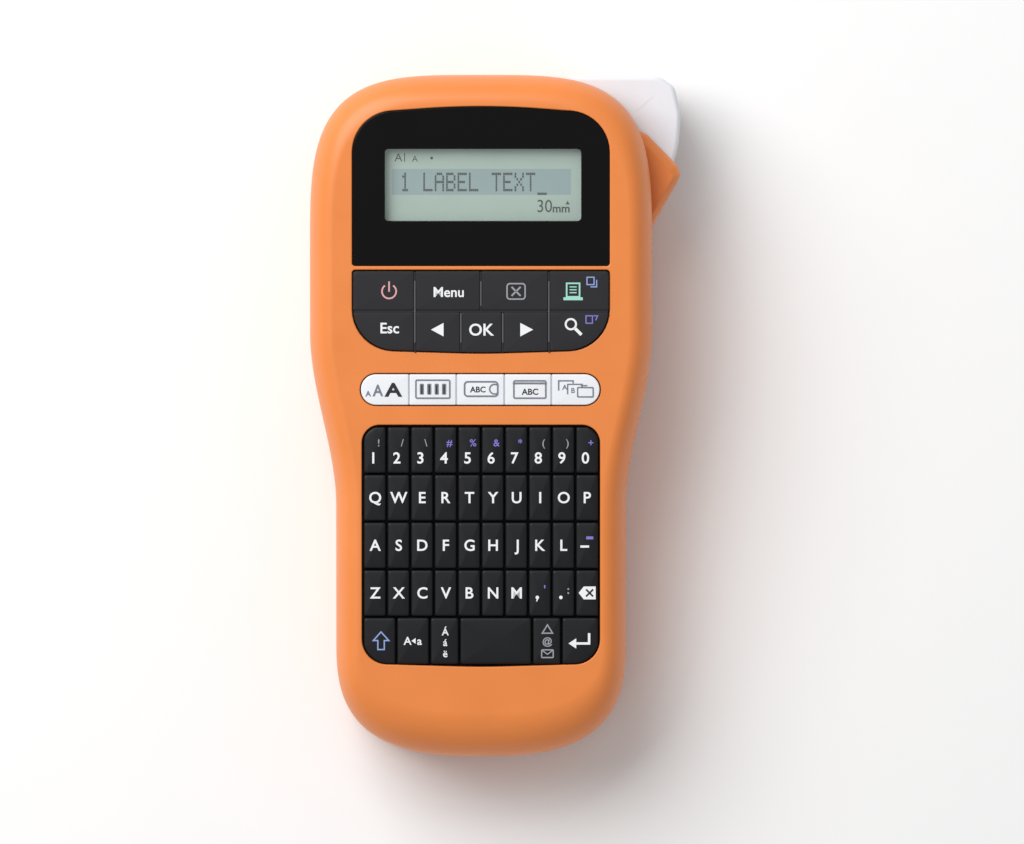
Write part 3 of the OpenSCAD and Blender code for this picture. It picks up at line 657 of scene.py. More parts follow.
# ---- Casing ----
@dataclass
class Casing:
    """Both halves of the orange shell."""

    face: Face
    outline: Outline = field(default_factory=Outline)
    openings: Openings = field(default_factory=Openings)
    depth: float = 18.0
    edge_depth: float = 12.0
    edge_run: tuple[float, float, float] = (7.5, 9.4, 14.0)
    back_round: float = 6.0
    wall: float = 2.2
    floor: float = 3.6
    seam: float = 0.3
    rim: float = 0.4
    screws: tuple[Pair, ...] = (
        (30, -93), (-30, -93), (44.5, 8), (-44.5, 8), (-32, 94), (10, 97.5))
    pillar: float = 3.6
    socket: float = 3.0
    pilot: float = 1.25
    shank: float = 1.5
    well: float = 2.9
    well_rim: float = 0.35
    posts: tuple[Pair, ...] = ((-33, 12), (-33, 82), (38.3, 14), (38.3, 47))
    post: float = 2.2
    cassette_bay: Box = (-29.5, 34, 3, 86)
    cell_bay: Box = (-34, 34, -76, -24)
    latch_slot: Box = (-7.4, 7.4, 84.6, 88)
    tape_exit: Box = (21.4, 26.2, 98, 110)
    inlet: float = 5.0
    inlet_z: float = 20.0
    grips: tuple[float, float, float] = (-19.0, -36.0, -53.0)
    grip_radius: float = 30.0
    grip_depth: float = 0.6
    cutter_axis: Pair = (31.0, 100.5)
    cutter_room: Pair = (9.5, 34.0)
    cutter_corner: tuple[Corner, ...] = (
        (26.9, 94, 0), (41, 94, 2), (41, 59.7, 1.5), (66, 59.7, 0), (66, 110, 0), (26.9, 110, 0))

    def joint(self, y: np.ndarray) -> np.ndarray:
        """Height of the seam between the halves at y."""
        return self.face.at(y) - self.depth

    def edge(self, turn: float, g: float) -> np.ndarray:
        """One ring of the rounded front edge at an angle round it, grown inwards by g."""
        e = 1 - math.sin(turn)
        ring = self.outline.ring(*(g + run * e for run in self.edge_run))
        drop = g + self.edge_depth * (1 - math.cos(turn))
        return np.column_stack([ring, self.face.at(ring[:, 1]) - drop])

    def side(self, g: float, height: Callable[[np.ndarray], np.ndarray]) -> np.ndarray:
        """One ring moved in by g, at a height that follows y."""
        ring = self.outline.ring(g)
        return np.column_stack([ring, height(ring[:, 1])])

    def front(self) -> bpy.types.Object:
        """The front half with its four openings and screw posts."""
        turns = np.linspace(math.pi / 2, 0, 15)
        outer = loft([self.side(self.seam, self.joint), self.side(0, lambda y: self.joint(y) + self.seam)]
                     + [self.edge(t, 0) for t in turns])
        inner = loft([self.side(self.wall, lambda y: self.joint(y) - 1)]
                     + [self.edge(t, self.wall) for t in turns[::2]])
        steps = [cut(inner)]
        for x, y in self.screws:
            at = float(self.joint(np.array(y)))
            steps += [added(rod((x, y), self.socket, at + 0.01, at + self.depth - 5)),
                      cut(rod((x, y), self.pilot, at - 1, at + 9))]
        o = self.openings
        for hole in (o.window(), o.keypad(), o.quick(), o.keyboard()):
            steps.append(cut(flared(hole, -6, 0, self.rim).placed(self.face.place)))
        return finished("front_shell", carved(outer, steps), [SHELL], "casing", ["front_casing"])

    def _hollowed(self, ring: np.ndarray, z: float) -> np.ndarray:
        """A ring with the shallow finger hollows of the grip pressed into both flanks at height z."""
        fade = np.clip(min(z - 6, 26 - z) / 3, 0, 1)
        fade = fade * fade * (3 - 2 * fade)
        reach = sum(np.maximum(0, self.grip_depth - (ring[:, 1] - y) ** 2 / (2 * self.grip_radius))
                    for y in self.grips)
        moved = ring.copy()
        moved[:, 0] -= np.sign(ring[:, 0]) * reach * fade
        return moved

    def cover_outline(self, g: float) -> np.ndarray:
        """Outline of the back opening, moved in by g."""
        return rounded([
            [-36 + g, -88 + g, 10], [36 - g, -88 + g, 10], [36 - g, -24, 40], [42 - g, 22, 40],
            [42 - g, 76, 20], [36 - g, 88 - g, 8], [-36 + g, 88 - g, 8], [-42 + g, 76, 20],
            [-42 + g, 22, 40], [-36 + g, -24, 40]])

    def fin(self) -> Shape:
        """The pointed guard over the cutter lever, with broad bevels."""
        corners = rounded([[48, 54, 1], [52.2, 56.9, 2], [61.2, 72.9, 2], [62.2, 75.2, 1], [61.2, 78, 2],
                           [51.8, 87.6, 3], [48, 89.5, 1]], 4)
        middle = np.array([52.0, 71.8])
        rings = ((1.0, 34.0), (1.0, 35.2), (0.97, 36.2), (0.9, 37.2), (0.78, 38.2), (0.74, 38.4))
        return loft([level(middle + (corners - middle) * share, z) for share, z in rings])

    def rear(self) -> bpy.types.Object:
        """The rear half with its bays, posts, fin, screw wells and lever corner."""
        turns = np.linspace(0, math.pi / 2, 12)
        r = self.back_round
        rings = [level(self.outline.ring(r * (1 - math.sin(t))), r * (1 - math.cos(t))) for t in turns]
        rings += [level(self._hollowed(self.outline.ring(0), z), z)
                  for z in (7, 8, 9, 11, 14, 18, 21, 23, 24, 25, 26)]
        rings += [self.side(0, lambda y: self.joint(y) - self.seam), self.side(self.seam, self.joint)]
        hollow = loft([level(self.outline.ring(self.wall + 2.4), self.floor),
                       level(self.outline.ring(self.wall), self.floor + 4),
                       self.side(self.wall, lambda y: self.joint(y) + 1)])
        f, axis = self.floor, self.cutter_axis
        room_low, room_high = self.cutter_room
        steps = [cut(hollow)]
        for x, y in self.screws:
            steps.append(added(rod((x, y), self.pillar, f - 1, float(self.joint(np.array(y))) - 0.01)))
        steps += [added(rod(p, self.post, f - 1, 24)) for p in self.posts]
        steps += [added(rod(axis, 3.2, f - 1, room_low)), added(self.fin()),
                  added(block(-5.5, 5.5, -104.5, -90, f - 1, 14.4)),
                  added(block(20, 22.9, 86.4, 90, f - 1.6, 22))]
        for x, y in self.screws:
            at = float(self.joint(np.array(y)))
            steps += [cut(rod((x, y), self.shank, -1, at + 1)),
                      cut(sunk(circle((x, y), self.well), at - 10, self.well_rim))]
        inlet = along_y(flared(circle((0, 0), self.inlet), 101, 106, 0.4), 0, self.inlet_z)
        steps += [
            cut(sunk(self.cover_outline(0), 2, self.well_rim)),
            cut(slab(rounded_box(*self.cassette_bay, 4), -1, f + 1)),
            cut(slab(rounded_box(*self.cell_bay, 3), -1, f + 1)),
            cut(block(*self.latch_slot, -1, f + 1)),
            cut(slab(rounded(self.cutter_corner), room_low, room_high)),
            cut(block(*self.tape_exit, 4.8, 22)),
            cut(rod(axis, 1.5, f + 1.4, 10)), cut(rod(axis, 2.5, 33.5, 38.1)),
            cut(inlet.placed(lambda p: p * [-1, -1, 1]))]
        return finished("rear_shell", carved(loft(rings), steps), [SHELL], "casing", ["rear_casing"])


@dataclass
class Cover:
    """The back cover, with its hinged latch."""

    casing: Casing
    low: float = 0.15
    high: float = 1.9
    latch: Box = (-7.0, 7.0, 80.0, 87.7)
    hinge_z: float = 1.0
    gap: float = 0.3
    stub: float = 0.4
    window: Box = (-13.0, 13.0, 28.0, 60.0)

    def _across(self, radius: float, beyond: float, sides: int = 40) -> Shape:
        """A rod along the latch's hinge, reaching that far beyond the latch."""
        x0, x1, y0, _ = self.latch
        return along_x(rod((0, 0), radius, x0 - beyond, x1 + beyond, sides), y0, self.hinge_z)

    def panel(self) -> bpy.types.Object:
        """The cover plate, with sockets for the latch's stubs."""
        x0, x1, y0, _ = self.latch
        steps = [cut(block(x0 - self.gap, x1 + self.gap, y0 - self.gap, 92, -1, 4)),
                 cut(self._across(1.0, self.gap)), cut(self._across(self.stub + 0.1, 1.4, 20)),
                 cut(block(*self.window, -1, 4))]
        plate = soft_slab(self.casing.cover_outline(self.gap), self.low, self.high, 0.2, 0.35)
        return finished("cover_panel", carved(plate, steps), [SHELL], "back_cover", ["back_cover"])

    def catch(self) -> bpy.types.Object:
        """The latch with its round hinge, stubs, tongue and hook."""
        x0, x1, y0, y1 = self.latch
        steps = [added(self._across(0.75, 0)), added(self._across(self.stub, 1.2, 20)),
                 added(block(x0 + 1, x1 - 1, y1 - 1.5, y1, 1.5, 5)),
                 added(block(x0 + 1, x1 - 1, y1 - 1.5, y1 + 1.2, 3.8, 5))]
        plate = soft_slab(rounded_box(x0, x1, y0, y1, 0.6), self.low + 0.1, self.high, 0.15, 0.25)
        return finished("latch_plate", carved(plate, steps), [SHELL], "cover_latch", ["cover_latch"])

    def ridges(self) -> bpy.types.Object:
        """Finger ridges across the latch."""
        x0, x1, y0, _ = self.latch
        ridge = soft_slab(rounded_box(x0 + 2, x1 - 2, -0.3, 0.3, 0.25), 0, 0.2, 0.12)
        places = np.array([[0, y0 + 1.8 + 1.1 * i, self.low + 0.05] for i in range(5)])
        mesh = repeated(ridge, places, SHELL, 0.0)
        return finished("latch_ridges", mesh, [SHELL], "cover_latch", [])


# ---- Cutter ----
@dataclass
class Cutter:
    """The pale lever at the upper right corner that cuts the label."""

    low: float = 10.0
    high: float = 33.5
    skin: float = 1.8
    bottom_rim: float = 0.5
    top_rim: float = 1.5
    axis: Pair = (31.0, 100.5)
    edge: tuple[Corner, ...] = (
        (27.4, 106, 0.6), (55.5, 106, 6), (60.3, 102.6, 4), (62.2, 94, 12), (61.6, 84.5, 30),
        (60, 79, 20), (58.8, 72, 12), (53.6, 61.5, 1.2))
    inside: tuple[Corner, ...] = (
        (49, 60, 0), (54.8, 73, 12), (57.4, 92, 6), (53.2, 100.4, 6), (34, 102.8, 2), (34, 96, 0),
        (45, 92, 0), (46, 60, 0))
    web: tuple[Corner, ...] = (
        (48, 63, 1), (48.5, 80, 8), (46, 88, 6), (42.5, 93.5, 4), (34, 98.2, 3), (27.4, 102, 0.6))
    arm: tuple[Corner, ...] = (
        (26.8, 87.5, 0.3), (29.8, 87.5, 0.3), (33.4, 97, 0), (34, 102.2, 0.3), (28.2, 102.8, 0.3),
        (28, 97, 0))
    arm_top: float = 21.0
    boss: float = 3.2
    bore: float = 1.55
    crease: tuple[Pair, ...] = ((48.3, 94.9), (48.5, 94.7), (54.0, 99.5), (53.8, 99.7))

    def lever(self) -> bpy.types.Object:
        """The lever: a rounded cap, hollow towards the casing, on its boss and blade arm."""
        steps = [cut(slab(rounded(self.inside), self.low + self.skin, self.high - self.skin)),
                 added(rod(self.axis, self.boss, self.low + 0.9, self.high - 0.9)),
                 added(slab(rounded(self.arm), self.low + 0.05, self.arm_top)),
                 cut(rod(self.axis, self.bore, self.low - 1, self.high + 1)),
                 cut(slab(np.array(self.crease), self.high - 0.12, self.high + 1))]
        corners, turns = [*self.edge, *self.web], quarter(6)
        low, high = self.bottom_rim, self.top_rim
        rings = [level(drawn_in(corners, low * (1 - math.sin(t))), self.low + low * (1 - math.cos(t)))
                 for t in turns]
        rings += [level(drawn_in(corners, high * (1 - math.sin(t))), self.high - high * (1 - math.cos(t)))
                  for t in turns[::-1]]
        return finished("lever_cap", carved(loft(rings), steps), [LEVER], "cutter_lever",
                        ["cutter_lever"])


# ---- Repeats made by geometry nodes ----
def new_tree(name: str, inputs: Sequence[tuple[str, str]]) -> tuple[bpy.types.NodeTree, bpy.types.Node]:
    """A geometry node tree with named inputs and one geometry output.

    Args:
        name: The tree's name.
        inputs: Pairs of input name and socket type.

    Returns:
        The tree and its group input node.
    """
    tree = bpy.data.node_groups.new(name, "GeometryNodeTree")
    for label, kind in inputs:
        tree.interface.new_socket(name=label, in_out="INPUT", socket_type=kind)
    tree.interface.new_socket(name="Geometry", in_out="OUTPUT", socket_type="NodeSocketGeometry")
    return tree, add_node(tree, "NodeGroupInput")


def run_tree(tree: bpy.types.NodeTree, host: bpy.types.Object, values: dict[str, object]) -> bpy.types.Mesh:
    """Runs a tree on a host object and returns the mesh it makes; the host and its modifier are removed."""
    change = host.modifiers.new("repeat", "NODES")
    change.node_group = tree
    for item in tree.interface.items_tree:
        if item.in_out == "INPUT" and item.name in values:
            change[item.identifier] = values[item.name]
    mesh = evaluated(host)
    host.modifiers.remove(change)
    bpy.data.objects.remove(host)
    return mesh


def repeated(stamp: Shape, places: np.ndarray, finish: Finish, spread: float,
             turn: tuple[float, float, float] = (0.0, 0.0, 0.0), seed: int = 7) -> bpy.types.Mesh:
    """Copies of one small shape at many places.

    Args:
        stamp: The shape, round its own origin.
        places: Where the copies go, in millimetres.
        finish: Their finish.
        spread: Largest share by which a copy is smaller than the stamp.
        turn: Rotation of each copy, in radians.
        seed: Seed of the spread.

    Returns:
        One mesh with all copies.
    """
    tree, given = new_tree("copies_at_points", [
        ("Places", "NodeSocketGeometry"), ("Stamp", "NodeSocketObject"), ("Finish", "NodeSocketMaterial"),
        ("Turn", "NodeSocketVector"), ("Spread", "NodeSocketFloat"), ("Seed", "NodeSocketInt")])
    smallest = add_node(tree, "ShaderNodeMath", {"operation": "SUBTRACT"}, {
        0: 1.0, 1: given.outputs["Spread"]})
    size = add_node(tree, "FunctionNodeRandomValue", {"data_type": "FLOAT"}, {
        2: smallest.outputs[0], 3: 1.0, "Seed": given.outputs["Seed"]})
    shape = add_node(tree, "GeometryNodeObjectInfo", None, {"Object": given.outputs["Stamp"]})
    dots = add_node(tree, "GeometryNodeMeshToPoints", None, {"Mesh": given.outputs["Places"]})
    copies = add_node(tree, "GeometryNodeInstanceOnPoints", None, {
        "Points": dots.outputs[0], "Instance": shape.outputs["Geometry"], "Rotation": given.outputs["Turn"],
        "Scale": size.outputs[1]})
    real = add_node(tree, "GeometryNodeRealizeInstances", None, {0: copies.outputs[0]})
    dressed = add_node(tree, "GeometryNodeSetMaterial", None, {
        "Geometry": real.outputs[0], "Material": given.outputs["Finish"]})
    add_node(tree, "NodeGroupOutput", None, {0: dressed.outputs[0]})
    template = linked("stamp", stamp.mesh("stamp"))
    host_mesh = bpy.data.meshes.new("places")
    host_mesh.from_pydata((places * MM).tolist(), [], [])
    mesh = run_tree(tree, linked("places", host_mesh), {
        "Stamp": template, "Finish": finish.made(), "Turn": turn, "Spread": spread, "Seed": seed})
    bpy.data.objects.remove(template)
    return mesh


@dataclass(frozen=True)
class Coil:
    """A conical contact spring of round wire."""

    turns: float = 4.0
    small: float = 2.4
    large: float = 4.0
    height: float = 5.7
    wire: float = 0.3

    def mesh(self, finish: Finish) -> bpy.types.Mesh:
        """One coil on its own axis, from z = 0 up, large end on top."""
        sizes = {"Turns": self.turns, "Small Radius": self.small * MM, "Large Radius": self.large * MM,
                 "Height": self.height * MM, "Wire Radius": self.wire * MM}
        tree, given = new_tree("conical_coil", [
            *((label, "NodeSocketFloat") for label in sizes), ("Finish", "NodeSocketMaterial")])
        line = add_node(tree, "GeometryNodeCurveSpiral", None, {
            "Resolution": 16, "Rotations": given.outputs["Turns"],
            "Start Radius": given.outputs["Small Radius"], "End Radius": given.outputs["Large Radius"],
            "Height": given.outputs["Height"]})
        wire = add_node(tree, "GeometryNodeCurvePrimitiveCircle", None, {
            "Resolution": 8, "Radius": given.outputs["Wire Radius"]})
        tube = add_node(tree, "GeometryNodeCurveToMesh", None, {
            "Curve": line.outputs[0], "Profile Curve": wire.outputs[0], "Fill Caps": True})
        dressed = add_node(tree, "GeometryNodeSetMaterial", None, {
            "Geometry": tube.outputs[0], "Material": given.outputs["Finish"]})
        add_node(tree, "NodeGroupOutput", None, {0: dressed.outputs[0]})
        return run_tree(tree, linked("coil", bpy.data.meshes.new("coil")), {**sizes, "Finish": finish.made()})


# ---- Ink ----
class Ink(Enum):
    """Number of each ink in a key's list of finishes, after the rubber."""

    WHITE = 1
    GREY = 2
    VIOLET = 3
    BLUE = 4
    PINK = 5
    TEAL = 6
    BLACK = 7
    SLATE = 8


INKS = (WHITE_INK, GREY_INK, VIOLET_INK, BLUE_INK, PINK_INK, TEAL_INK, BLACK_INK, SLATE_INK)


class Print:
    """Legends in the face's own frame, as thin solid ink that follows the surface under it."""

    thick = 0.06
    buried = 0.04
    _cap = 0.0

    def __init__(self) -> None:
        """Starts with no ink."""
        self.shape = Shape()

    @classmethod
    def _letters(cls, text: str, bold: float) -> tuple[np.ndarray, list[tuple[int, ...]]]:
        """A string in the built-in typeface at size 1, baseline at y = 0, as a welded solid 1 thick."""
        curve = bpy.data.curves.new("letters", "FONT")
        curve.body, curve.size, curve.offset, curve.extrude = text, 1.0, bold, 0.5
        curve.align_x, curve.resolution_u = "CENTER", 4
        item = linked("letters", curve)
        mesh = evaluated(item)
        bpy.data.objects.remove(item)
        work = bmesh.new()
        work.from_mesh(mesh)
        bmesh.ops.remove_doubles(work, verts=work.verts, dist=1e-5)
        points = np.array([v.co for v in work.verts])
        faces = [tuple(v.index for v in f.verts) for f in work.faces]
        work.free()
        bpy.data.meshes.remove(mesh)
        return points, faces

    def text(self, text: str, u: float, v: float, height: float, ink: Ink = Ink.WHITE, bold: float = 0.016,
             wide: float = 1.0) -> "Print":
        """Letters centred on a point.

        Args:
            text: The string.
            u: Middle of the string.
            v: Middle of its capitals.
            height: Height of a capital, in millimetres.
            ink: The ink.
            bold: Extra stroke, as a share of the type size.
            wide: Stretch along u.

        Returns:
            This print.
        """
        if not Print._cap:
            Print._cap = float(self._letters("H", 0)[0][:, 1].max())
        points, faces = self._letters(text, bold)
        k = height / (Print._cap + 2 * bold)
        middle = (points[:, 0].min() + points[:, 0].max()) / 2
        x, y = (points[:, 0] - middle) * k * wide + u, (points[:, 1] + bold) * k - height / 2 + v
        z = np.where(points[:, 2] > 0, self.thick, -self.buried)
        self.shape.add(np.column_stack([x, y, z]), faces, ink.value)
        return self

    def area(self, outline: Sequence[Sequence[float]], ink: Ink = Ink.WHITE, lift: float = 0.0) -> "Print":
        """A filled outline."""
        self.shape.join(slab(counter_clockwise(outline), -self.buried, self.thick + lift, ink.value))
        return self

    def line(self, points: Sequence[Sequence[float]], width: float, ink: Ink = Ink.WHITE, loop: bool = False,
             lift: float = 0.0) -> "Print":
        """A drawn line of even width, open or closed into a loop."""
        p = np.array(points, float)
        d = np.roll(p, -1, 0) - p
        if not loop:
            d[-1] = d[-2]
        d /= np.linalg.norm(d, axis=1)[:, None]
        before = np.roll(d, 1, 0)
        if not loop:
            before[0] = d[0]
        na, nb = (np.column_stack([-e[:, 1], e[:, 0]]) for e in (before, d))
        side = (na + nb) / np.maximum(1 + (na * nb).sum(1), 0.3)[:, None] * width / 2
        n, top, low = len(p), self.thick + lift, -self.buried
        edges = [level(p + side, top), level(p - side, top), level(p - side, low), level(p + side, low)]
        faces = [(a + (k + 1) % 4, b + (k + 1) % 4, b + k, a + k)
                 for a, b in ((4 * i, 4 * ((i + 1) % n)) for i in range(n if loop else n - 1))
                 for k in range(4)]
        if not loop:
            faces += [(1, 2, 3, 0), tuple(4 * (n - 1) + k for k in (0, 3, 2, 1))]
        self.shape.add(np.stack(edges, 1).reshape(-1, 3), faces, ink.value)
        return self

    def ring(self, u: float, v: float, radius: float, width: float, ink: Ink = Ink.WHITE, start: float = 0.0,
             end: float = 360.0) -> "Print":
        """A drawn circle, or the arc from start to end in degrees."""
        full = end - start >= 360
        t = np.radians(np.linspace(start, end, 28, endpoint=not full))
        return self.line(np.column_stack([u + radius * np.cos(t), v + radius * np.sin(t)]), width, ink, full)

    def laid_on(self, surface: Shape) -> Shape:
        """The ink lowered onto a surface in the face's own frame, with every sign's top left flat."""
        tree = BVHTree.FromPolygons(surface.array().tolist(), surface.faces)

        def height(x: float, y: float) -> float:
            """Height of the surface at that place."""
            hit = tree.ray_cast(Vector((x, y, 20.0)), Vector((0, 0, -1)))[0]
            return hit.z if hit else 0.0

        def lowered(p: np.ndarray) -> np.ndarray:
            """One sign's points, its underside following the surface."""
            (u0, v0, _), (u1, v1, _) = p.min(0), p.max(0)
            under = np.array([height(x, y) for x, y, _ in p])
            grid = [height(x, y) for x in np.linspace(u0, u1, 5) for y in np.linspace(v0, v1, 5)]
            moved = p.copy()
            moved[:, 2] += np.where(p[:, 2] > 0, max(under.max(), *grid), under)
            return moved

        return Shape().join(self.shape).placed(lowered)


# ---- Display ----
@dataclass
class Display:
    """The black window with the display under it."""

    casing: Casing
    view: Box = (-29.8, 31.1, 60.6, 83.0)
    module: Box = (-34.0, 34.0, 54.5, 87.5)
    top: float = -0.15
    under: float = -3.4
    dot: Pair = (0.59, 0.84)
    text_at: Pair = (-25.0, 75.5)
    cursor_y: float = 68.9
    message: str = "1 LABEL TEXT"
    rows: dict[str, str] = field(default_factory=lambda: {
        "1": "040C040404040E", "L": "1010101010101F", "A": "0E11111F111111", "B": "1E11111E11111E",
        "E": "1F10101E10101F", "T": "1F040404040404", "X": "11110A040A1111", " ": "00000000000000"})

    def pane(self) -> bpy.types.Object:
        """The window's printed border, with its step down to the display."""
        x0, x1, y0, y1 = self.module
        hole = rounded_box(*self.view, 1.2)
        steps = [added(block(x0 + 1, x1 - 1, y0 + 1, y1 - 1, self.under, -1.9)),
                 cut(slab(hole, -5, 2))]
        border = soft_slab(self.casing.openings.window(0.12), -2, self.top, 0.3)
        mesh = carved(border, steps)
        place_mesh(mesh, self.casing.face)
        return finished("window_border", mesh, [PANE], "casing", ["display_window"])

    def lens(self) -> bpy.types.Object:
        """The clear part of the window, over the display."""
        clear = slab(inset(rounded_box(*self.view, 1.2), 0.02), self.under + 0.25, self.top - 0.01)
        return finished("window_clear", clear.placed(self.casing.face.place).mesh("lens"), [LENS],
                        "casing", ["display_window"])

    def crystal(self) -> bpy.types.Object:
        """The display module: dark back, grey-green cell and its band."""
        x0, x1, y0, y1 = self.module
        cell = slab(rounded_box(x0 + 1.5, x1 - 1.5, y0 + 2, y1 - 2, 0.8), -4.61, self.under)
        cell.join(slab(rounded_box(x0, x1, y0, y1, 0.8), -7.6, -4.6), 2)
        cell.join(slab(rounded_box(-27.7, 27.9, 68.6, 76.6, 0.2), self.under - 0.05, self.under + 0.02), 1)
        return finished("display_cell", cell.placed(self.casing.face.place).mesh("cell"),
                        [CRYSTAL, BAND, FILLED], "casing", ["lcd_module"])

    def dots(self) -> bpy.types.Object:
        """The text line, made of separate dots."""
        (px, py), (u, v), w, face = self.dot, self.text_at, self.under + 0.02, self.casing.face
        spots = [[u + px * (6 * k + c + 0.5), v - py * (r + 0.5), w]
                 for k, letter in enumerate(self.message) for r in range(7) for c in range(5)
                 if int(self.rows[letter][2 * r:2 * r + 2], 16) >> (4 - c) & 1]
        spots += [[u + px * (6 * len(self.message) + c + 0.5), self.cursor_y, w] for c in range(5)]
        dot = slab(rounded_box(-px * 0.46, px * 0.46, -py * 0.46, py * 0.46, 0.06), 0, 0.03)
        mesh = repeated(dot, face.place(np.array(spots)), DOTS, 0.05, (face.tilt, 0, 0))
        return finished("display_dots", mesh, [DOTS], "casing", [], weld=False)

    def signs(self) -> bpy.types.Object:
        """The small fixed signs above and below the text line."""
        p = Print()
        p.text("A", -25.6, 80.2, 2.5, bold=0.0).line([(-23.7, 78.8), (-23.7, 81.6)], 0.25)
        p.text("A", -20.5, 79.8, 1.8, bold=0.0).area(circle((-15.3, 80), 0.45, 12))
        p.text("30", 19.8, 65.1, 3.8, bold=0.0, wide=0.9).text("mm", 24.9, 64.4, 2.6, bold=0.02)
        p.area([(26.2, 65.6), (27.6, 65.6), (26.9, 66.7)])
        flat = Shape().join(p.shape, 0).placed(lambda q: q + [0, 0, self.under])
        return finished("display_signs", flat.placed(self.casing.face.place).mesh("signs"), [DOTS],
                        "casing", [], weld=False)


def place_mesh(mesh: bpy.types.Mesh, face: Face) -> None:
    """Moves a mesh in metres from the face's own frame to the body's."""
    co = np.zeros(len(mesh.vertices) * 3)
    mesh.vertices.foreach_get("co", co)
    mesh.vertices.foreach_set("co", (face.place(co.reshape(-1, 3) / MM) * MM).ravel())
    mesh.update()


# ---- Keys ----
@dataclass(frozen=True)
class CapStyle:
    """How one group of key caps is shaped."""

    edge_height: float
    crown: float
    fillet: float
    gap: float
    corner: float
    floor: float = -3.3
    stem: float = 1.5
    stem_floor: float = -6.5

    def cap(self, opening: np.ndarray, cell: Sequence[float]) -> Shape:
        """One cap with its stem, in the face's own frame.

        Args:
            opening: Outline of the opening, already moved in.
            cell: Left, right, lower and upper limit of the key's cell.

        Returns:
            The closed cap and stem.
        """
        g = self.gap
        outline = clipped(opening, (cell[0] + g, cell[1] - g, cell[2] + g, cell[3] - g), self.corner)
        low, high = outline.min(0), outline.max(0)
        centre, half = (low + high) / 2, (high - low) / 2

        def shrunk(by: float) -> np.ndarray:
            """The outline made smaller, by that distance at its widest points."""
            return centre + (outline - centre) * (1 - by / half)

        rings, r = [level(outline, self.floor)], self.fillet
        rings += [level(shrunk(r * (1 - math.cos(t))), self.edge_height - r * (1 - math.sin(t)))
                  for t in quarter(LIP_FACETS)]
        rim = shrunk(r)
        rings += [level(centre + (rim - centre) * share, self.edge_height + self.crown * (1 - share ** 2))
                  for share in (0.86, 0.7, 0.5, 0.3, 0.12)]
        middle = ((cell[0] + cell[1]) / 2, (cell[2] + cell[3]) / 2)
        return loft(rings).join(rod(middle, self.stem, self.stem_floor, self.floor + 0.2, 20))


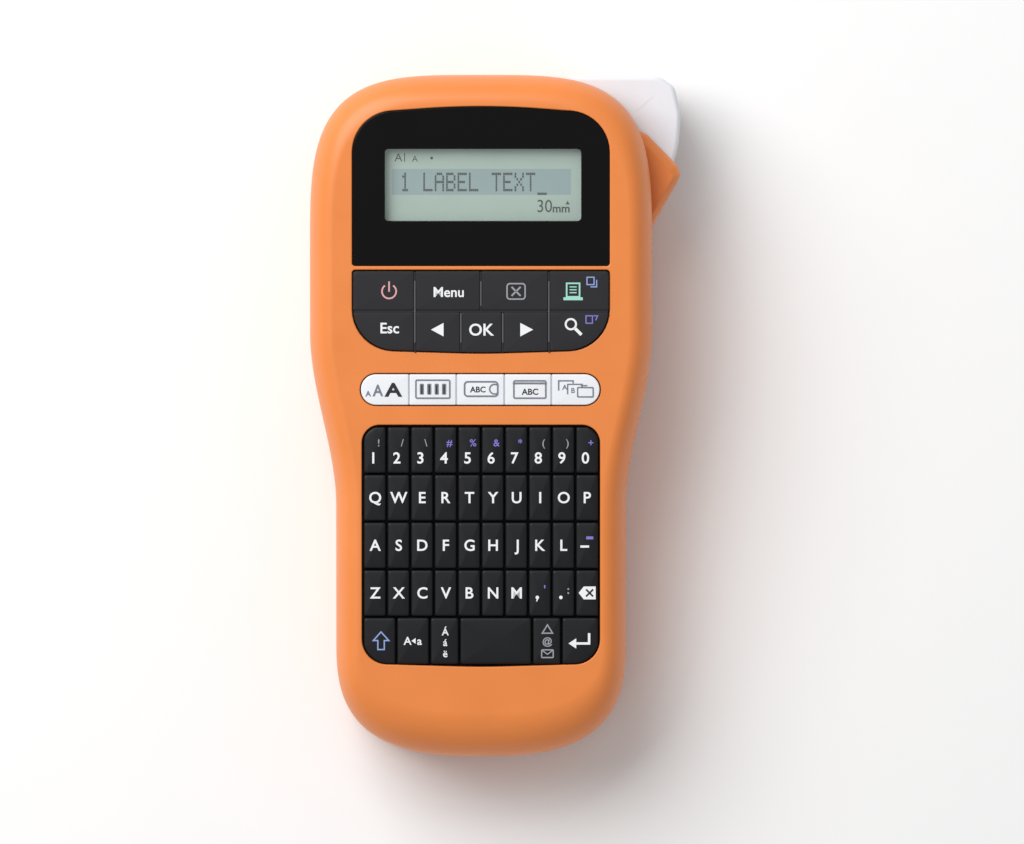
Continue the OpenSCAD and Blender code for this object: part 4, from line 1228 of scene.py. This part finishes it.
@dataclass
class Keys:
    """All the keys, with their legends."""

    casing: Casing
    pad: CapStyle = CapStyle(0.52, 0.12, 0.3, 0.3, 0.4)
    quick: CapStyle = CapStyle(0.55, 0.15, 0.35, 0.16, 0.3)
    letter: CapStyle = CapStyle(0.45, 0.3, 0.75, 0.25, 0.7)
    inset: float = 0.35
    pad_rows: tuple[float, ...] = (19.3, 32.6, 45.4)
    pad_top: tuple[float, ...] = (-40, -20.5, 0, 21.1, 40)
    pad_low: tuple[float, ...] = (-40, -20.5, -6.2, 6.8, 21.1, 40)
    quick_columns: tuple[float, ...] = (-37.6, -22.3, -7.6, 7.3, 21.9, 37.2)
    pitch: Pair = (7.32, 14.85)
    corner: Pair = (-36.6, -3.2)
    low_row: tuple[float, ...] = (-36.6, -26.3, -15.9, -6.7, 15.9, 25, 36.6)

    def _hand_in(self, node: str, caps: Shape, ink: Print, rubber: Finish) -> bpy.types.Object:
        """Joins caps and ink, places them and hands the piece in."""
        whole = Shape().join(caps).join(ink.laid_on(caps)).placed(self.casing.face.place)
        return finished(f"{node}_cap", whole.mesh(node), [rubber, *INKS], node, [node], weld=False)

    def _pad_cell(self, row: int, i: int) -> Box:
        """Cell of one function key, row 1 being the upper."""
        c = self.pad_top if row else self.pad_low
        return c[i], c[i + 1], self.pad_rows[row], self.pad_rows[row + 1]

    @staticmethod
    def _print_sign() -> Print:
        """A printed sheet on a printer, with two pages beside it."""
        ink = Print().line([(26.6, 37.1), (30.6, 37.1), (30.6, 41.3), (26.6, 41.3)], 0.5, Ink.TEAL, True)
        ink.line([(25.6, 36.5), (31.6, 36.5)], 0.9, Ink.TEAL)
        for v in (40.2, 39.3, 38.4):
            ink.line([(27.5, v), (29.7, v)], 0.35, Ink.TEAL)
        ink.line([(32.9, 40.9), (35.1, 40.9), (35.1, 43.2), (32.9, 43.2)], 0.35, Ink.BLUE, True)
        return ink.line([(34, 40.2), (35.9, 40.2), (35.9, 42.4)], 0.35, Ink.BLUE)

    def function_keys(self) -> None:
        """The charcoal keys under the display."""
        opening = self.casing.openings.keypad(self.inset)
        box = rounded_box(8.1, 13.7, 36.4, 41.2, 0.9)
        legends = {
            "power_key": Print().ring(-28.5, 38.8, 2.2, 0.5, Ink.PINK, 125, 415)
            .line([(-28.5, 38.7), (-28.5, 41.9)], 0.5, Ink.PINK),
            "menu_key": Print().text("Menu", -10, 38.6, 3.1),
            "cancel_key": Print().line(box, 0.45, Ink.GREY, True)
            .line([(9.5, 37.4), (12.3, 40.2)], 0.55, Ink.GREY)
            .line([(9.5, 40.2), (12.3, 37.4)], 0.55, Ink.GREY),
            "print_key": self._print_sign(),
            "escape_key": Print().text("Esc", -28.3, 27.4, 3.3),
            "left_key": Print().area([(-15.5, 26.9), (-11.6, 24.8), (-11.6, 29)]),
            "ok_key": Print().text("OK", 0.2, 26.9, 3.7),
            "right_key": Print().area([(16.2, 26.9), (12.2, 29), (12.2, 24.8)]),
            "preview_key": Print().ring(27.9, 28.6, 1.6, 0.6).line([(29.1, 27.4), (31.2, 25.3)], 0.95)
            .line([(32.6, 28.9), (34.6, 28.9), (34.6, 31.2), (32.6, 31.2)], 0.35, Ink.VIOLET, True)
            .line([(34.9, 31.2), (36.2, 31.2), (35.6, 29.8)], 0.35, Ink.VIOLET),
        }
        order = [(1, i) for i in range(4)] + [(0, i) for i in range(5)]
        for (node, ink), (row, i) in zip(legends.items(), order):
            self._hand_in(node, self.pad.cap(opening, self._pad_cell(row, i)), ink, KEYPAD)

    def bars(self) -> bpy.types.Object:
        """The rubber mat's webs between the keys, and its short upright bars between the function keys. The
        bars' lighter grey is a painted highlight along their ridges, and the webs between the quick keys are
        pale blue-grey as painted shade of those gaps.
        """
        ends = ((-20.5, 22.8, 42.1), (0, 34.2, 41.9), (21.1, 23, 42), (-6.2, 22.8, 32), (6.8, 22.8, 32))
        bars = Shape()
        # Upright bars, finish 0: modelled ridges whose lighter grey is a painted highlight along them.
        for u, v0, v1 in ends:
            bars.join(soft_slab(rounded_box(u - 0.24, u + 0.24, v0, v1, 0.2), -4.2, 0.66, 0.12))
        low, mid, top = self.pad_rows
        webs = [(-39.4, 39.4, mid - 0.27, mid + 0.27)]
        webs += [(u - 0.27, u + 0.27, mid + 0.28, top - 0.5) for u in self.pad_top[1:-1]]
        webs += [(u - 0.27, u + 0.27, low + 0.5, mid - 0.28) for u in self.pad_low[1:-1]]
        for box in webs:
            bars.join(slab(rounded_box(*box, 0.1), -4.1, 0.42, 1))
        x0, x1, y0, y1 = self.casing.openings.strip
        # Strips between the quick keys, finish 2: pale blue-grey painted shade of the gaps.
        for u in self.quick_columns[1:-1]:
            bars.join(slab(rounded_box(u - 0.14, u + 0.14, y0 + 0.5, y1 - 0.5, 0.05), -4.1, 0.45, 2))
        return finished("keypad_bars", bars.placed(self.casing.face.place).mesh("bars"),
                        [BAR_PAINTED_HIGHLIGHT, KEYPAD, GROOVE_PAINTED_SHADE], "casing", [], weld=False)

    def quick_keys(self) -> None:
        """The white keys with pictures."""
        opening = self.casing.openings.quick(self.inset)
        c, s = Ink.BLACK, Ink.SLATE
        grid = Print().line(rounded_box(-20.2, -9.7, 5.6, 11.2, 0.4), 0.45, s, True)
        for k in range(4):
            grid.area(rounded_box(-19 + 2.3 * k, -17.7 + 2.3 * k, 6.7, 10.1, 0.3), s)
            grid.line([(-18.35 + 2.3 * k, 6.9), (-18.35 + 2.3 * k, 9.7)], 0.45, c, lift=0.02)
        legends = {
            "text_size_key": Print().text("A", -35, 7, 1.7, s, 0.03).text("A", -32, 8, 3.6, s, 0.02, 0.9)
            .text("A", -27.2, 8.2, 4.3, c, 0.03, 1.25),
            "table_key": grid,
            "label_length_key": Print().line(rounded_box(-5.1, 5.2, 6.2, 10.7, 1), 0.5, s, True)
            .text("ABC", -1, 8.3, 1.8, c, 0.02).ring(4.2, 8.4, 1.5, 0.45, s, 60, 300),
            "frame_key": Print().line(rounded_box(10.2, 20.1, 5.6, 11, 0.4), 0.45, s, True)
            .line([(9.9, 10.2), (20.4, 10.2)], 0.6, s).text("ABC", 15.2, 7.6, 1.9, c, 0.02),
            "memory_key": Print().line([(24.1, 8), (24.1, 11), (28.6, 11), (28.6, 10.2)], 0.4, s)
            .text("A", 26, 9, 1.6, s, 0.02).line([(26.9, 6.8), (26.9, 9.9), (31.4, 9.9), (31.4, 8.9)], 0.4, s)
            .text("B", 28.6, 8, 1.6, s, 0.02).line(rounded_box(30, 34.8, 6, 8.9, 0.2), 0.4, s, True)
            .line([(31, 9.5), (33, 9.5)], 0.4, s),
        }
        for i, (node, ink) in enumerate(legends.items()):
            cell = (self.quick_columns[i], self.quick_columns[i + 1], *self.casing.openings.strip[2:])
            self._hand_in(node, self.quick.cap(opening, cell), ink, STRIP)

    def _letter_cell(self, row: int, i: int) -> Box:
        """Cell of one letter key, row 0 being the digits."""
        x, y = self.corner[0] + self.pitch[0] * i, self.corner[1] - self.pitch[1] * row
        return x, x + self.pitch[0], y - self.pitch[1], y

    def letter_rows(self) -> None:
        """The digits and the three rows of letters."""
        opening = self.casing.openings.keyboard(self.inset)
        rows = {"number_keys": "1234567890", "top_letter_keys": "QWERTYUIOP", "home_letter_keys": "ASDFGHJKL",
                "bottom_letter_keys": "ZXCVBNM"}
        seconds = "!/\\#%&*()+"
        for row, (node, legend) in enumerate(rows.items()):
            caps, ink = Shape(), Print()
            for i in range(10):
                cell = self._letter_cell(row, i)
                caps.join(self.letter.cap(opening, cell))
                u, top = (cell[0] + cell[1]) / 2, cell[3]
                if row == 0:
                    ink.text(legend[i], u - 0.5, top - 9.8, 3.5)
                    ink.text(seconds[i], u + 1.2, top - 5.1, 2.2,
                             Ink.GREY if seconds[i] in "!/\\()" else Ink.VIOLET, 0.01)
                elif i < len(legend):
                    ink.text(legend[i], u + 0.1, top - 7.3, 3.5)
            if row == 2:
                u, top = self._letter_cell(2, 9)[0] + 3, self._letter_cell(2, 9)[3]
                ink.line([(u - 1.4, top - 7.7), (u + 1.3, top - 7.7)], 0.7)
                ink.line([(u + 0.4, top - 5), (u + 2.6, top - 5)], 0.9, Ink.VIOLET)
            if row == 3:
                self._punctuation(ink)
            self._hand_in(node, caps, ink, KEYS)

    def _punctuation(self, ink: Print) -> None:
        """Comma, full stop, their second marks and the erase sign."""
        for i, second in ((7, "'"), (8, ":")):
            cell = self._letter_cell(3, i)
            u, top = (cell[0] + cell[1]) / 2, cell[3]
            ink.area(circle((u - 0.8, top - 8.7), 0.55, 14))
            if i == 7:
                ink.area([(u - 0.4, top - 9), (u - 0.9, top - 10), (u - 1.2, top - 9.8), (u - 0.9, top - 9)])
            ink.text(second, u + 1.5, top - 6.3, 2.6, Ink.VIOLET if i == 7 else Ink.GREY, 0.02)
        cell = self._letter_cell(3, 9)
        u, v = (cell[0] + cell[1]) / 2 + 0.1, cell[3] - 7.3
        ink.area([(u - 2.7, v), (u - 1.1, v - 2), (u + 2.6, v - 2), (u + 2.6, v + 2), (u - 1.1, v + 2)])
        for s in (1, -1):
            ink.line([(u - 0.4, v - 1.1 * s), (u + 1.8, v + 1.1 * s)], 0.55, Ink.BLACK, lift=0.03)

    def low_keys(self) -> None:
        """Shift, capitals, accents, space, signs and enter."""
        opening = self.casing.openings.keyboard(self.inset)
        top = self.corner[1] - 4 * self.pitch[1]
        mid = [(a + b) / 2 for a, b in zip(self.low_row, self.low_row[1:])]
        u, v = mid[0] + 0.4, top - 7.4
        shift = [(u, v + 2.8), (u + 2.4, v + 0.1), (u + 1, v + 0.1), (u + 1, v - 2.7), (u - 1, v - 2.7),
                 (u - 1, v + 0.1), (u - 2.4, v + 0.1)]
        a, e = mid[1] + 0.4, mid[5]
        caps = Print().text("A", a - 2.1, v, 2.5).area([(a - 0.9, v), (a + 0.4, v - 0.9), (a + 0.4, v + 0.9)])
        caps.text("a", a + 1.6, v, 2.5)
        t, m = mid[4] + 0.2, mid[2]
        signs = Print().line([(t, top - 2.4), (t - 1.6, top - 5), (t + 1.6, top - 5)], 0.4, Ink.GREY, True)
        signs.text("@", t, top - 7.5, 2.2, Ink.GREY, 0.02)
        signs.line(rounded_box(t - 1.8, t + 1.8, top - 12.6, top - 10.2, 0.3), 0.4, Ink.GREY, True)
        signs.line([(t - 1.6, top - 10.4), (t, top - 11.6), (t + 1.6, top - 10.4)], 0.35, Ink.GREY)
        accents = Print()
        for letter, below in (("Á", 4.6), ("á", 7.9), ("ë", 11.4)):
            accents.text(letter, m + 0.2, top - below, 2.2)
        enter = Print().line([(e + 2.8, v + 2.4), (e + 2.8, v - 0.8), (e - 1.4, v - 0.8)], 0.75)
        enter.area([(e - 3.6, v - 0.8), (e - 1.2, v - 2.4), (e - 1.2, v + 0.8)])
        legends = {"shift_key": Print().line(shift, 0.4, Ink.BLUE, True), "caps_key": caps,
                   "accent_key": accents, "space_key": Print(), "symbol_key": signs, "enter_key": enter}
        for i, (node, ink) in enumerate(legends.items()):
            cell = (self.low_row[i], self.low_row[i + 1], top - self.pitch[1], top)
            self._hand_in(node, self.letter.cap(opening, cell), ink, KEYS)


# ---- Inside ----
@dataclass
class Interior:
    """Finishes for the carried-over parts, and the wound contact springs."""

    near: float = -24.6
    far: float = -75.4
    length: float = 44.5
    play: float = 0.3
    cells: int = 6
    pitch: float = 11.2
    height: float = 10.0
    coil: Coil = field(default_factory=Coil)

    def dress(self, nodes: dict[str, bpy.types.Object]) -> None:
        """Gives every carried-over node its finish."""
        for name, finish in NODE_FINISH.items():
            slots = nodes[name].data.materials
            slots.clear()
            slots.append(finish.made())

    def springs(self) -> bpy.types.Object:
        """A conical spring against each cell's flat end."""
        made = self.coil.mesh(STEEL)
        co = np.zeros(len(made.vertices) * 3)
        made.vertices.foreach_get("co", co)
        points, faces = co.reshape(-1, 3) / MM, [tuple(p.vertices) for p in made.polygons]
        coils = Shape()
        for i in range(self.cells):
            x, way = self.pitch * (i - (self.cells - 1) / 2), 1 if i % 2 == 0 else -1
            flat_end = (self.near if way > 0 else self.far) - way * (self.length + self.play)
            coils.add(np.column_stack([x + way * points[:, 0], flat_end - way * points[:, 2],
                                       self.height + points[:, 1]]), faces)
        return finished("contact_coils", coils.mesh("coils"), [STEEL], "casing", ["battery_springs"],
                        weld=False)


# ---- Studio ----
@dataclass
class Studio:
    """Floor, light and camera."""

    aim: tuple[float, float, float] = (9.64, -1.87, 45.0)
    distance: float = 5.0
    width: float = 0.3184
    sensor: float = 36.0
    key_at: tuple[float, float, float] = (-0.75, 0.8, 1.25)
    key_size: float = 1.3
    key_power: float = 27.0
    room: float = 0.42

    def floor(self) -> None:
        """A large pale floor in the plane the label maker lies on."""
        sheet = slab(rounded_box(-4000, 4000, -4000, 4000, 300), -20, -0.02)
        item = linked("floor", sheet.mesh("floor"))
        item.data.materials.append(Finish("pale_paper_sweep", "#fbfbfb", 0.9, 2.0, 0.002, 0.004).made())

    def light(self) -> None:
        """One soft area light aimed at the middle of the body."""
        lamp = bpy.data.lights.new("key", "AREA")
        lamp.shape, lamp.size, lamp.energy = "SQUARE", self.key_size, self.key_power
        item = linked("key", lamp)
        item.location = self.key_at
        item.rotation_euler = (-Vector(self.key_at)).to_track_quat("-Z", "Y").to_euler()

    def set_up(self) -> None:
        """Builds the whole studio."""
        self.floor()
        self.light()
        world = bpy.data.worlds.new("room")
        bpy.context.scene.world = world
        world.use_nodes = True
        sky = world.node_tree.nodes["Background"].inputs
        sky["Color"].default_value, sky["Strength"].default_value = (1, 1, 1, 1), self.room
        camera = bpy.data.cameras.new("camera")
        camera.sensor_width, camera.lens = self.sensor, self.sensor * self.distance / self.width
        camera.clip_start, camera.clip_end = 0.5, 20.0
        item = linked("camera", camera)
        item.location = Vector(self.aim) * MM + Vector((0, 0, self.distance))
        bpy.context.scene.camera = item
        bpy.context.scene.view_settings.view_transform = "Standard"


def main() -> None:
    """Builds every sub-assembly in order."""
    logging.basicConfig(level=logging.INFO, format="%(message)s")
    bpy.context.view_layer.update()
    press = next(j for j in frame["joints"] if j["name"] == "power_key_press")["axis"]
    face = Face(math.atan2(press[1], -press[2]))
    casing = Casing(face)
    casing.front()
    casing.rear()
    cover = Cover(casing)
    cover.panel()
    cover.catch()
    cover.ridges()
    Cutter().lever()
    display = Display(casing)
    for make in (display.pane, display.lens, display.crystal, display.dots, display.signs):
        make()
    keys = Keys(casing)
    for make in (keys.function_keys, keys.bars, keys.quick_keys, keys.letter_rows, keys.low_keys):
        make()
    inside = Interior()
    inside.dress(frame["nodes"])
    inside.springs()
    Studio().set_up()


if __name__ == "__main__":
    main()
